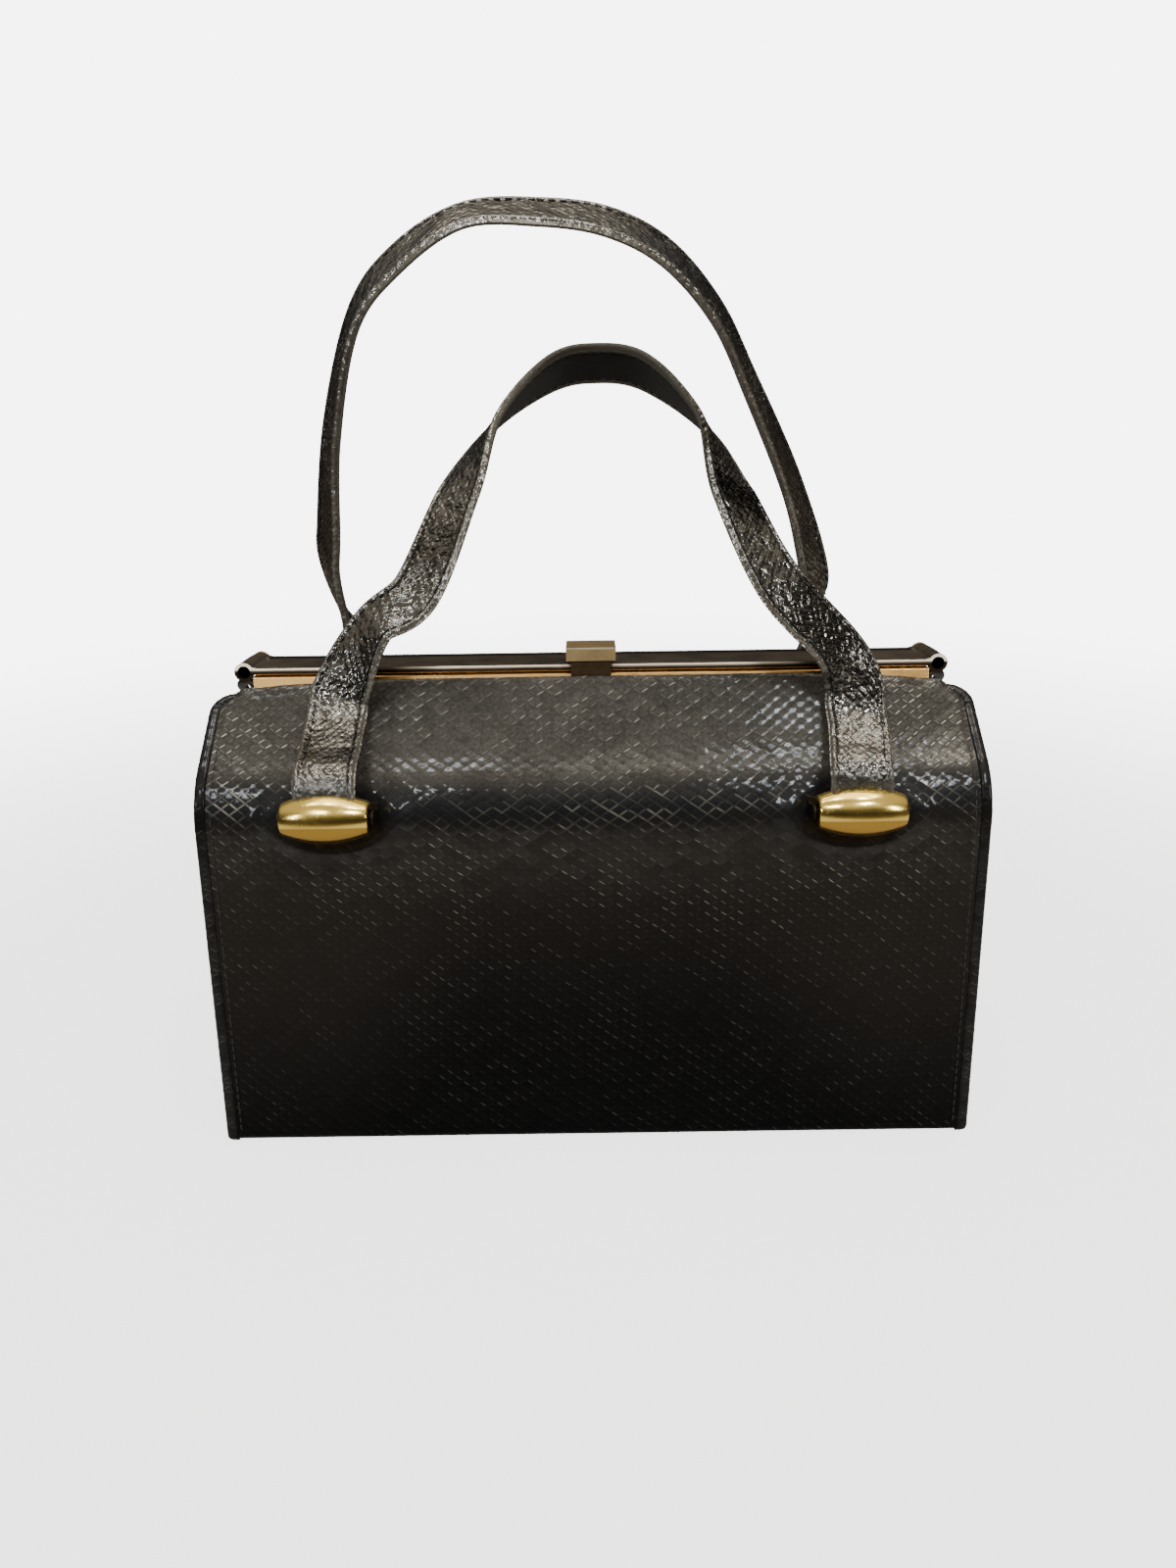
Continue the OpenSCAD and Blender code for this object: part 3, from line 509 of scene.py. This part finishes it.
for side, body, flip in (("front", "front_wall", 1), ("back", "back_wall", -1)):
    parts = []
    for hand in (1, -1):
        at = path[:, None] + inward[:, None] * ring_in[:, None]
        ripple = 0.08 * np.sin(np.arange(len(path)) * 2.3 + hand)[:, None]
        points = on_wall(hand * at[..., 0], at[..., 1], ring_up + ripple)
        points[..., 1] *= flip
        parts.append((points, tube_faces(len(path), len(ring_a), turned=hand * flip < 0)))
    welt = build(side + "_wall_welt", *joined(parts), welt_finish,
                 chart=np.stack([welt_chart, welt_chart]))
    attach(welt, body)
    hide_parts(side + "_welt")


# The seam stitches beside the welts: waxed thread, about eight to the inch,
# sewn by machine through leather and welt.
thread_finish = Finish("waxed_thread", {"Roughness": 0.5})
twist = thread_finish.stretched(thread_finish.place(), (3.0, 3.0, 9.0))
thread_finish.set("Base Color", thread_finish.mix(
    thread_finish.noise(twist, 1.0, 2), (0.010, 0.009, 0.009), (0.048, 0.043, 0.037)))
thread_finish.relief(thread_finish.noise(twist, 1.4, 1), 0.08)


def stitch_row(centres, along, out, length, radius):
    """Points and faces of a row of short threads, each a tapered grain."""
    ring = np.linspace(0, 2 * math.pi, 6, endpoint=False)
    swell = np.array([0.25, 0.85, 1.0, 0.85, 0.25])[:, None, None]
    reach = np.array([-0.5, -0.36, 0, 0.36, 0.5])[:, None, None]
    centres, along, out = (v[:, None, None] for v in (centres, along, out))
    across = np.cross(along, out)
    points = centres + along * reach * length + radius * swell * (
        across * np.cos(ring)[:, None] + out * np.sin(ring)[:, None])
    one = tube_faces(5, 6)
    return points, [[k + 30 * n for k in f] for n in range(len(points)) for f in one]


seam_in, seam_pitch, thread_lift, thread_l, thread_r = 1.5, 3.1, 0.16, 2.3, 0.26
for side, body, flip in (("front", "front_wall", 1), ("back", "back_wall", -1)):
    parts = []
    mirrored = np.array([1, flip, 1])
    for hand in (1, -1):
        s = np.arange(3, corner_s + 2, seam_pitch)
        x = hand * (wall_half(s, 0) - welt_w - seam_in)
        centre = on_wall(x, s, thread_lift)
        out = on_wall(x, s, thread_lift + 1) - centre
        step = on_wall(x, s + 0.5, thread_lift) - centre
        step /= np.linalg.norm(step, axis=1)[:, None]
        parts.append(stitch_row(centre * mirrored, step * mirrored, out * mirrored,
                                thread_l, thread_r))
    seam = build(side + "_seam_stitches", *joined(parts), thread_finish)
    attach(seam, body)


# The side gussets: softer leather folded inwards down the middle, sewn to the walls along
# both edges and turned over at the top.
def slab_faces(rows, columns, turned=False):
    """Faces of two equal grids of points, one over the other, closed round the rim."""
    count = rows * columns
    faces = [list(f) for f in grid_faces(rows, columns)]
    faces += [[k + count for k in f[::-1]] for f in faces]
    rim = list(range(columns)) + [r * columns + columns - 1 for r in range(1, rows)]
    rim += [(rows - 1) * columns + c for c in range(columns - 2, -1, -1)]
    rim += [r * columns for r in range(rows - 2, 0, -1)]
    faces += [[k + count, after + count, after, k] for k, after in zip(rim, rim[1:] + rim[:1])]
    return [f[::-1] for f in faces] if turned else faces


gusset_x, gusset_y, gusset_foot, gusset_top, gusset_fold = 119.0, 43.5, 1.2, 111.0, 12.0
foot_half, seam_z, scale_w, scale_h = 41.6, 6.3, 4.2, 4.8
gusset_finish = embossed("gusset_leather", 17.0, 0.35, 0.9, 0.15)
levels = np.concatenate([[gusset_foot, 3.5, seam_z], np.linspace(8, gusset_top, 76)])[:, None]
shares = np.linspace(0, 1, 34)[None, :]
widening = (gusset_y - foot_half) * ease(seam_z, 12, levels)
y = shares * np.where(levels < seam_z + 0.1, foot_half, foot_half + widening)
folded = np.sin(math.pi * np.clip((levels - seam_z) / (gusset_top - seam_z), 0, 1))
fold = gusset_fold * folded * (1.06 - np.sqrt(shares ** 2 + 0.0036))
crumple = 0.35 * np.sin(y / 5.1 + levels / 13) * folded * (1 - shares)
u, v = y / scale_w, levels / scale_h + 0 * y
chart = np.stack([u, v], -1)
for hand, where in ((-1, "left"), (1, "right")):
    for flip, side, body in ((1, "front", "front_wall"), (-1, "back", "back_wall")):
        layers = []
        for outer, lap in ((0, 1.3), (1, 0.4)):
            x = gusset_x + outer - fold - crumple * 0.6
            x = np.where(shares > 0.985, x + lap * ease(seam_z, 14, levels), x)
            x = x + outer * 0.12 * scales(u, v, 5)
            layers.append(np.stack([hand * x, -flip * y, levels + 0 * x], -1))
        half = build(where + "_gusset_" + side + "_half", np.stack(layers),
                     slab_faces(*y.shape, turned=hand * flip > 0), gusset_finish,
                     chart=np.stack([chart, chart]))
        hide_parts(where + "_gusset")
        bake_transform(half)


# The base: a stiff board with the embossed leather drawn over it and its
# edges skived thin, standing flat on the table.
base_finish = embossed("base_leather_finish", 29.0, 0.5, 0.6, 0.1)
base_half_w, base_half_d, leather_t = 123.4, 38.7, 1.2
across, deep = np.meshgrid(np.linspace(-1, 1, 180), np.linspace(-1, 1, 60))
x, y = base_half_w * across, base_half_d * deep
rounding = 0.35 * (ease(0.985, 1, np.abs(across)) + ease(0.96, 1, np.abs(deep)))
under = 0.14 - 0.14 * scales(x / scale_w, y / scale_h, 31) / 1.2 + rounding
layers = np.stack([np.stack([x, y, np.clip(under, 0, 1)], -1),
                   np.stack([x, y, 0 * x + leather_t], -1)])
chart = np.stack([x / scale_w, y / scale_h], -1)
base_skin = build("base_leather_skin", layers, slab_faces(*x.shape, turned=True), base_finish,
                  chart=np.stack([chart, chart]))
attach(base_skin, "base")
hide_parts("base_leather")


# The stiffening boards: grey-brown pressed fibre, cut to the walls and the
# base and glued between leather and lining.
board_finish = Finish("fibre_board", {"Specular IOR Level": 0.2})
fibres = board_finish.stretched(board_finish.place(), (0.9, 0.25, 0.25))
flecks = board_finish.noise(fibres, 1.0, 5, 0.7)
board_finish.set("Base Color", board_finish.mix(flecks, (0.22, 0.16, 0.10), (0.42, 0.33, 0.22)))
board_finish.set("Roughness", 0.75 + 0.2 * flecks)
board_finish.relief(flecks, 0.15)


def refinish(finish, *names):
    """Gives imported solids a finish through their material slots."""
    for name in names:
        for slot in nodes[name].material_slots:
            slot.material = finish.material


refinish(board_finish, "base_board", "front_board", "back_board")


# The lining: dark ribbed cloth on thin paper, glued over the boards inside
# the bag, with a few soft puckers.
lining_finish = Finish("ribbed_lining", {"Specular IOR Level": 0.25, "Sheen Weight": 0.3})
cloth_at = lining_finish.place()
cloth_x, cloth_y, cloth_z = cloth_at.axes()
rib = 0.5 + 0.5 * (cloth_x * 8.0).wave()
weft = 0.5 + 0.5 * ((cloth_z + cloth_y) * 9.5).wave()
lining_finish.set("Base Color", lining_finish.mix(
    lining_finish.noise(cloth_at, 0.06, 3) * 0.6 + 0.4 * rib,
    (0.030, 0.020, 0.017), (0.075, 0.052, 0.043)))
lining_finish.set("Roughness", 0.7 + 0.2 * weft)
lining_finish.relief(rib * 0.7 + weft * 0.3, 0.10)
lining_half, lining_foot, lining_run, board_depth, lining_t, glue_t = 117.7, 3, 23.6, 2.8, 0.8, 0.02
for side, body, phase, flip in (("front", "front_wall", 41, 1), ("back", "back_wall", 43, -1)):
    x, s = np.meshgrid(np.linspace(-lining_half, lining_half, 110),
                       np.linspace(lining_foot, bend_end + lining_run, 90))
    calm = ease(0, 12, lining_half - np.abs(x)) * ease(lining_foot, 14, s)
    calm = calm * (1 - ease(bend_end + 14, bend_end + 23, s))
    pucker = 0.12 * calm * (1 + np.sin(x / 9 + 2 * np.sin(s / 21)) * np.sin(s / 26 + phase))
    layers = np.stack([on_wall(x, s, -board_depth - glue_t),
                       on_wall(x, s, -board_depth - lining_t - pucker)])
    layers[..., 1] *= flip
    lining = build(side + "_wall_lining", layers, slab_faces(*x.shape, turned=flip < 0),
                   lining_finish)
    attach(lining, body)
    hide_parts(side + "_lining")
x, y = np.meshgrid(np.linspace(-lining_half, lining_half, 110),
                   np.linspace(-base_half_d, base_half_d, 40))
calm = ease(0, 10, lining_half - np.abs(x)) * ease(0, 8, base_half_d - np.abs(y))
top = board_depth + lining_t + 0.15 * calm * (1 + np.sin(x / 11 + y / 7) * np.sin(y / 13))
layers = np.stack([np.stack([x, y, 0 * x + board_depth + glue_t], -1), np.stack([x, y, top], -1)])
floor_lining = build("base_floor_lining", layers, slab_faces(*x.shape, turned=True), lining_finish)
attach(floor_lining, "base")
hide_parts("base_lining")


# The frame: drawn brass channels clamped on the leather's rolled edge, arms
# riveted at the hinge pins and a strip under the top plate, all gilt and
# dulled by years of handling.
def metal(name, bright, dull, rough, wear_scale=0.06, tarnish=0.5, lean=0, painted_light=None):
    """Worn plated brass: bright where worn, dull and rougher in its hollows. Its
    upright faces are drawn to lean back, and painted_light gives a further tone and the share where
    it is laid on: a painted highlight on the clasp, painted shade on the barrels."""
    made = Finish(name, {"Metallic": 1.0})
    at = made.place()
    x, y, z = at.axes()
    cloud = made.noise(at, wear_scale, 4, 0.6).rise(0.35, 0.7)
    specks = made.noise(at, 1.3, 3, 0.6).rise(0.55, 0.75)
    scratch = made.noise(made.stretched(at, (0.15, 2.2, 2.2)), 1.0, 3, 0.6)
    tone = made.mix(cloud * tarnish + specks * 0.25, bright, dull)
    # Painted light, highlight on the clasp and shade on the barrels, laid over the tone.
    if painted_light:
        painted_light_tone, where = painted_light
        tone = made.mix(where(x, y, z), tone, painted_light_tone)
    made.set("Base Color", tone)
    made.set("Roughness", rough + 0.14 * cloud + 0.10 * specks)
    made.relief(scratch + specks * 0.5 - lean * z, 0.012)
    return made


def edged(width, segments, *names):
    """Rounds the sharp edges of rigid pieces, as drawing and polishing do."""
    for name in names:
        weld = nodes[name].modifiers.new("joined", "WELD")
        weld.merge_threshold = 1e-6
        bevel = nodes[name].modifiers.new("softened", "BEVEL")
        bevel.width, bevel.segments = width * MM, segments
        bevel.limit_method, bevel.angle_limit = "ANGLE", math.radians(40)
        bevel.harden_normals = True


channel_gilt = metal("channel_gilt", (0.95, 0.56, 0.19), (0.64, 0.37, 0.12), 0.26, lean=36)
frame_gilt = metal("frame_gilt", (0.80, 0.50, 0.20), (0.36, 0.22, 0.10), 0.30)
arm_bronze = metal("arm_bronze", (0.12, 0.085, 0.055), (0.05, 0.036, 0.025), 0.40)
refinish(channel_gilt, "front_channel", "back_channel")
refinish(frame_gilt, "under_plate")
refinish(arm_bronze, "front_arms", "back_arms", "hinge_pins")
edged(0.28, 3, "front_channel", "back_channel")
edged(0.15, 2, "front_arms", "back_arms", "under_plate", "hinge_pins")


# The top plate: one strip of sheet brass over the back of the frame, worn to
# a dark brown, with a cream painted highlight along its rims and each end curled into a tube.
plate_bronze = Finish("plate_bronze", {"Metallic": 1.0})
plate_at = plate_bronze.place()
_, plate_y, plate_up = plate_at.axes()
plate_cloud = plate_bronze.noise(plate_at, 0.05, 4, 0.6)
plate_grain = plate_bronze.noise(plate_bronze.stretched(plate_at, (0.2, 3.0, 3.0)), 1.0, 3)
# Painted highlight: a cream line along the upper edges of the plate's long rims.
rim_highlights = plate_y.size().rise(10.9, 11.3) * plate_up.rise(157.75, 158.05)
plate_tone = plate_bronze.mix(plate_cloud.rise(0.35, 0.65),
                              (0.19, 0.155, 0.115), (0.09, 0.072, 0.055))
# Painted shade: below about 157.3 mm, the lower rims, the curls and the underside, the plate is
# painted near-black.
plate_tone = plate_bronze.mix(plate_up.rise(157.3, 157.6), (0.02, 0.013, 0.008), plate_tone)
plate_bronze.set("Base Color", plate_bronze.mix(rim_highlights, plate_tone, (1.0, 0.84, 0.62)))
plate_bronze.set("Roughness", 0.36 + 0.18 * plate_cloud - 0.08 * rim_highlights)
plate_bronze.relief(plate_grain - 30 * plate_up, 0.015)
plate_half, plate_z, plate_t, sheet_t, camber = 11.5, 156.9, 1.4, 0.6, 1.45
curl_x, curl_z, curl_r = 112.9, 157.32, 2.9
plate_top, curl_root = plate_z + plate_t, curl_x - curl_r
outer_side, inner_side = [
    [(curl_x + radius * math.cos(a), curl_z + radius * math.sin(a))
     for a in np.linspace(math.radians(172), math.radians(-158), 40)]
    for radius in (curl_r, curl_r - sheet_t)]
half_outline = [(0, plate_top), (curl_root - 1.2, plate_top), (curl_root - 0.1, plate_top + 0.35)]
half_outline += outer_side[2:] + inner_side[::-1][:-1]
half_outline += [(curl_root + sheet_t - 0.05, curl_z - 0.3), (curl_root - 0.1, plate_z),
                 (0, plate_z)]
outline = half_outline + [(-x, z) for x, z in half_outline[::-1]][1:-1]
depths = np.linspace(-plate_half + 0.35, plate_half - 0.35, 9)
depths = np.concatenate([[-plate_half], depths, [plate_half]])
drops = camber * ((depths + plate_half) / (2 * plate_half)) ** 2
points = np.array([[(x, y, z - drop) for x, z in outline] for y, drop in zip(depths, drops)])
count, last = len(outline), (len(depths) - 1) * len(outline)
faces = [list(f) for f in grid_faces(len(depths), count, around=True)]
faces += [list(range(count)), [last + k for k in range(count)][::-1]]
top_plate = build("frame_top_plate", points, faces, plate_bronze)
plate_bevel = top_plate.modifiers.new("rim_highlights", "BEVEL")
plate_bevel.width, plate_bevel.segments = 0.22 * MM, 2
plate_bevel.limit_method, plate_bevel.angle_limit = "ANGLE", math.radians(50)
plate_bevel.harden_normals = True
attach(top_plate, "back_jaw")
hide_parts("top_plate")


# The clasp: a folded brass cap on a sprung pin at the back of the frame, its
# pawl over the lug of the hook that stands on the front channel.
# The cap's upper front edge is painted cream as a painted highlight.
clasp_brass = metal(
    "clasp_brass", (0.82, 0.61, 0.31), (0.46, 0.34, 0.17), 0.34, 0.12, 0.7, painted_light=(
        (1.0, 0.88, 0.62), lambda x, y, z: (1 - y.rise(-14.0, -13.6)) * z.rise(163.8, 164.2)))
hook_bronze = metal("hook_bronze", (0.13, 0.09, 0.05), (0.05, 0.036, 0.022), 0.36, 0.12, 0.6)
spring_steel = metal("spring_steel", (0.62, 0.62, 0.62), (0.34, 0.33, 0.32), 0.3)
refinish(clasp_brass, "clasp_lever", "clasp_pin")
refinish(hook_bronze, "clasp_hook", "clasp_housing")
refinish(spring_steel, "clasp_spring", "front_backing_plates", "back_backing_plates")
edged(0.38, 3, "clasp_lever")
edged(0.12, 2, "clasp_hook", "clasp_housing")


# The barrel fittings: turned brass barrels, gilt and polished to a mirror, on
# pins between the ears of plates that are riveted through the walls.
barrel_y, barrel_z, barrel_half, barrel_r, barrel_end_r = 52.63, 122.07, 13.0, 7.8, 5.1


def barrel_shaded_half(x, y, z):
    """1 on the half of a barrel that looks down the wall, 0 on its other half, which is painted
    darker olive gold as painted shade.
    """
    return 1 - (0.95 * (z - barrel_z) - 0.31 * (y.size() - barrel_y)).rise(-2.9, -2.3)


# The lower halves of the barrels are painted darker as painted shade.
barrel_gold = metal("barrel_gold", (1.0, 0.74, 0.20), (1.0, 0.67, 0.16), 0.10, 0.05, 0.5,
                    painted_light=((0.48, 0.285, 0.055), barrel_shaded_half))
# The mounts, rivets and barrel pins are painted near-black, as painted shade round the barrels.
fitting_painted_shade = metal("fitting_painted_shade", (0.035, 0.027, 0.02), (0.02, 0.015, 0.012), 0.42)
for side in ("front", "back"):
    refinish(fitting_painted_shade, side + "_mounts", side + "_rivets", side + "_barrel_pins")
    edged(0.15, 2, side + "_mounts", side + "_rivets")
half_profile = [(0, 13.2), (1.3, 13.25), (1.3, 13.35), (4.5, 13.35), (4.9, 13.27),
                (barrel_end_r, barrel_half)]
half_profile += [(barrel_r - (barrel_r - barrel_end_r) * (x / barrel_half) ** 2, x)
                 for x in (12.3, 11.2, 9.8, 8.4, 6.8, 5, 2.6)]
profile = np.array(half_profile + [(barrel_r, 0)] + [(r, -x) for r, x in half_profile[::-1]])
radius, place = profile[:, :1], profile[:, 1:]
turns = np.linspace(0, 2 * math.pi, 72, endpoint=False)
for side, body, flip in (("front", "front_handle", 1), ("back", "back_handle", -1)):
    parts = []
    for hand in (1, -1):
        points = np.stack([hand * handle_half - place + 0 * turns,
                           flip * (-barrel_y + radius * np.cos(turns)),
                           barrel_z + radius * np.sin(turns)], -1)
        parts.append((points, grid_faces(len(profile), len(turns), around=True)[:, ::flip]))
    barrels = build(side + "_turned_barrels", *joined(parts), barrel_gold)
    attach(barrels, body)
    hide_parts(side + "_barrels")


# The straps: embossed leather outside and smooth leather inside, turned in
# and stitched down both edges, each end glued and pinned in a barrel's slot.
# A row of a route gives place, depth and height in shares, then its facing.
strap_w, strap_top, strap_under, strap_foot, slope_rise = 19.0, 1.4, 1.0, 3.3, clinch_z - barrel_z
half_w, skived, strap_steps, strap_scale_w, strap_scale_h = strap_w / 2, 0.04, 560, 2.5, 2.9
stitch_in, stitch_l, stitch_r, stitch_pitch, stitch_start = 2.5, 2.4, 0.27, 3.2, 14
foot_rows = [
    (1, 1, 0.00, 0, -1.00, 0.10), (1, 0.985, 0.25, 0, -0.95, 0.30),
    (1, 0.900, 0.42, 0, -0.60, 0.80), (1, 0.765, 0.51, 0, -0.45, 0.90),
    (1, 0.605, 0.66, 0, -0.55, 0.83)]
right_foot_slides = {"front": (0, 0, 0.3, 1.5, 2.5), "back": (0, 0, 0, 0, 0)}
front_rows = [
    (-0.994, 0.490, -0.045, 0, -0.75, 0.66), (-0.975, 0.420, 0.03, 0, -0.80, 0.60),
    (-0.840, 0.380, 0.225, -0.35, -0.62, 0.70), (-0.670, 0.320, 0.33, -0.40, -0.80, 0.45),
    (-0.515, -0.040, 0.61, -0.60, -0.70, 0.35), (-0.375, -0.345, 0.817, -0.78, 0, 0.60),
    (-0.155, -0.555, 0.965, -0.30, 0.55, 0.78), (0.030, -0.600, 1.00, 0, 0.62, 0.78),
    (0.240, -0.570, 0.968, 0.30, 0.55, 0.78), (0.475, -0.370, 0.80, 0.78, 0, 0.60),
    (0.572, -0.040, 0.600, 0.60, -0.70, 0.35), (0.727, 0.320, 0.345, 0.45, -0.80, 0.38),
    (0.955, 0.380, 0.14, 0.25, -0.76, 0.58), (1.025, 0.420, 0.03, 0, -0.84, 0.54),
    (1.030, 0.490, -0.045, 0, -0.75, 0.66)]
back_rows = [
    (-1.012, 0.500, -0.03, -0.20, -0.75, 0.60), (-1.030, 0.490, 0.03, -0.82, -0.50, 0.30),
    (-1.052, 0.425, 0.11, -0.94, 0.28, 0.12), (-1.078, 0.270, 0.25, -0.86, 0.49, 0.10),
    (-1.054, 0.175, 0.35, -0.86, 0.50, 0.10), (-0.988, 0.020, 0.57, -0.93, 0.36, 0.05),
    (-0.855, -0.150, 0.80, -0.88, 0.30, 0.30), (-0.680, -0.225, 0.915, -0.55, 0.42, 0.70),
    (-0.435, -0.260, 0.995, -0.15, 0.38, 0.92), (-0.160, -0.260, 1.00, 0.05, 0.40, 0.91),
    (0.080, -0.250, 0.98, 0.20, 0.42, 0.88), (0.290, -0.215, 0.92, 0.45, 0.40, 0.80),
    (0.475, -0.140, 0.807, 0.74, 0.34, 0.60), (0.610, -0.045, 0.665, 0.87, 0.31, 0.35),
    (0.815, 0.130, 0.425, 0.91, 0.38, 0.15), (0.955, 0.300, 0.185, 0.83, 0.53, 0.12),
    (1.000, 0.470, 0.055, 0.93, -0.30, 0.22), (1.010, 0.500, -0.03, 0.10, -0.75, 0.66)]


def strap_line(rows, apex_z, steps, slides):
    """Middle, direction, width and facing of a strap at even steps of its route."""
    feet = [(hand * r[0] * handle_half + max(hand, 0) * slide, -r[1] * barrel_y,
             barrel_z + strap_foot + r[2] * (slope_rise - strap_foot), hand * r[3], r[4], r[5])
            for hand in (-1, 1) for r, slide in zip(foot_rows, slides)]
    loop = [(r[0] * handle_half, -r[1] * barrel_y, clinch_z + r[2] * (apex_z - clinch_z), *r[3:])
            for r in rows]
    knots = np.array(feet[:5] + loop + feet[5:][::-1])
    fine = []
    for i in range(len(knots) - 1):
        a, b = knots[max(i - 1, 0)], knots[i]
        c, d = knots[i + 1], knots[min(i + 2, len(knots) - 1)]
        for t in np.linspace(0, 1, 24, endpoint=False):
            fine.append((2 * b + (c - a) * t + (2 * a - 5 * b + 4 * c - d) * t ** 2
                         + (3 * b - a - 3 * c + d) * t ** 3) / 2)
    fine = np.array(fine + [knots[-1]])
    gone = np.linalg.norm(np.diff(fine[:, :3], axis=0), axis=1)
    gone = np.concatenate([[0], np.cumsum(gone)])
    even = np.linspace(0, gone[-1], steps)
    line = np.stack([np.interp(even, gone, fine[:, k]) for k in range(6)], 1)
    middle = line[:, :3]
    direction = np.gradient(middle, axis=0)
    direction /= np.linalg.norm(direction, axis=1)[:, None]
    facing = line[:, 3:] - (line[:, 3:] * direction).sum(1)[:, None] * direction
    facing /= np.linalg.norm(facing, axis=1)[:, None]
    return middle, direction, np.cross(direction, facing), facing, even


strap_leather = embossed("strap_leather", 37.0, 0.35, 1.3, 0.02, edge="span", fine=0.36,
                         octaves=1.2, sheen=1.0, rough=0.03, bold=2.9, ior=1.7,
                         tint=(1.0, 0.95, 0.86))
strap_smooth = Finish("strap_smooth_leather", {"Specular IOR Level": 0.15})
smooth_at = strap_smooth.place()
pores = strap_smooth.noise(smooth_at, 2.2, 3, 0.6)
rubs = strap_smooth.noise(smooth_at, 0.09, 3, 0.55)
smooth_tone = strap_smooth.mix(rubs.rise(0.35, 0.7), (0.002, 0.0022, 0.002), (0.006, 0.006, 0.0055))
# Painted sheen: the outer leather where it turns in over the edges is painted much lighter than its
# own tone.
turned_in = strap_smooth.chart("span").axes()[0].size().rise(0.70, 0.76)
strap_smooth.set("Base Color", strap_smooth.mix(
    turned_in * (0.5 + pores), smooth_tone, (0.11, 0.10, 0.08)))
strap_smooth.set("Roughness", 0.46 + 0.16 * pores - 0.08 * rubs)
strap_smooth.relief(pores * 0.5 + rubs, 0.06)
across = np.linspace(-1, 1, 41)
edge = half_w - np.abs(across) * half_w
rolled = np.sqrt(np.clip(1 - np.clip(1 - edge / 1.1, 0, 1) ** 2, 0, 1))
groove = np.exp(-((edge - stitch_in) / 0.35) ** 2)
welted = 0.35 * np.exp(-((edge - 1.3) / 0.7) ** 2) - 0.30 * groove
for side, rows, apex, body, flip in (("front", front_rows, 250, "front_handle", 1),
                                     ("back", back_rows, 291, "back_handle", -1)):
    middle, direction, width, facing, even = strap_line(rows, apex, strap_steps,
                                                        right_foot_slides[side])
    mirrored = np.array([1, flip, 1])
    gone = even[:, None]
    bend = 0.25 * np.sin(gone / 17) + 0.12 * np.sin(gone / 6.3 + across)
    u = across * half_w / strap_scale_w + bend
    v = gone / strap_scale_h + 0.18 * np.sin(across * 2.6 + gone / 23)
    crumple = waves(across * 40 + 0 * gone, gone * 3.1, 51, 0.16)
    crumple += 0.16 * np.sin(gone / 2.1 + 2.2 * np.sin(across * 2.4 + gone / 9))
    raised = rolled * (strap_top + welted) + ease(2.4, 3.4, edge) * (0.6 * crumple - 0.05)
    sunk = -skived - rolled * (strap_under - skived) + 0.22 * groove
    for outer, layer, finish, heights in ((True, "strap", strap_leather, (raised, 0.05)),
                                          (False, "strap_lining", strap_smooth, (0.0, sunk))):
        points = []
        for high in heights:
            points.append(middle[:, None] + width[:, None] * (across * half_w)[:, None]
                          + facing[:, None] * (high + 0 * u)[..., None])
        points = np.concatenate([points[0], points[1][:, ::-1]], 1) * mirrored
        chart, span = np.stack([u, v], -1), np.stack([across + 0 * v, v], -1)
        piece = build(side + "_handle_" + layer, points,
                      tube_faces(strap_steps, points.shape[1], turned=flip < 0), finish,
                      chart=np.concatenate([chart, chart[:, ::-1]], 1),
                      span=np.concatenate([span, span[:, ::-1]], 1))
        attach(piece, body)
        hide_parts(side + "_" + layer)
    parts = []
    picks = np.searchsorted(even, np.arange(stitch_start, even[-1] - stitch_start, stitch_pitch))
    for edge_side in (-1, 1):
        for face_side, lift in ((1, strap_top + 0.02), (-1, strap_under - 0.12)):
            out = facing[picks] * face_side
            centre = middle[picks] + width[picks] * edge_side * (half_w - stitch_in) + out * lift
            points, faces = stitch_row(centre, direction[picks], out, stitch_l, stitch_r)
            parts.append((points * mirrored, faces))
    sewn = build(side + "_handle_stitches", *joined(parts), thread_finish)
    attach(sewn, body)
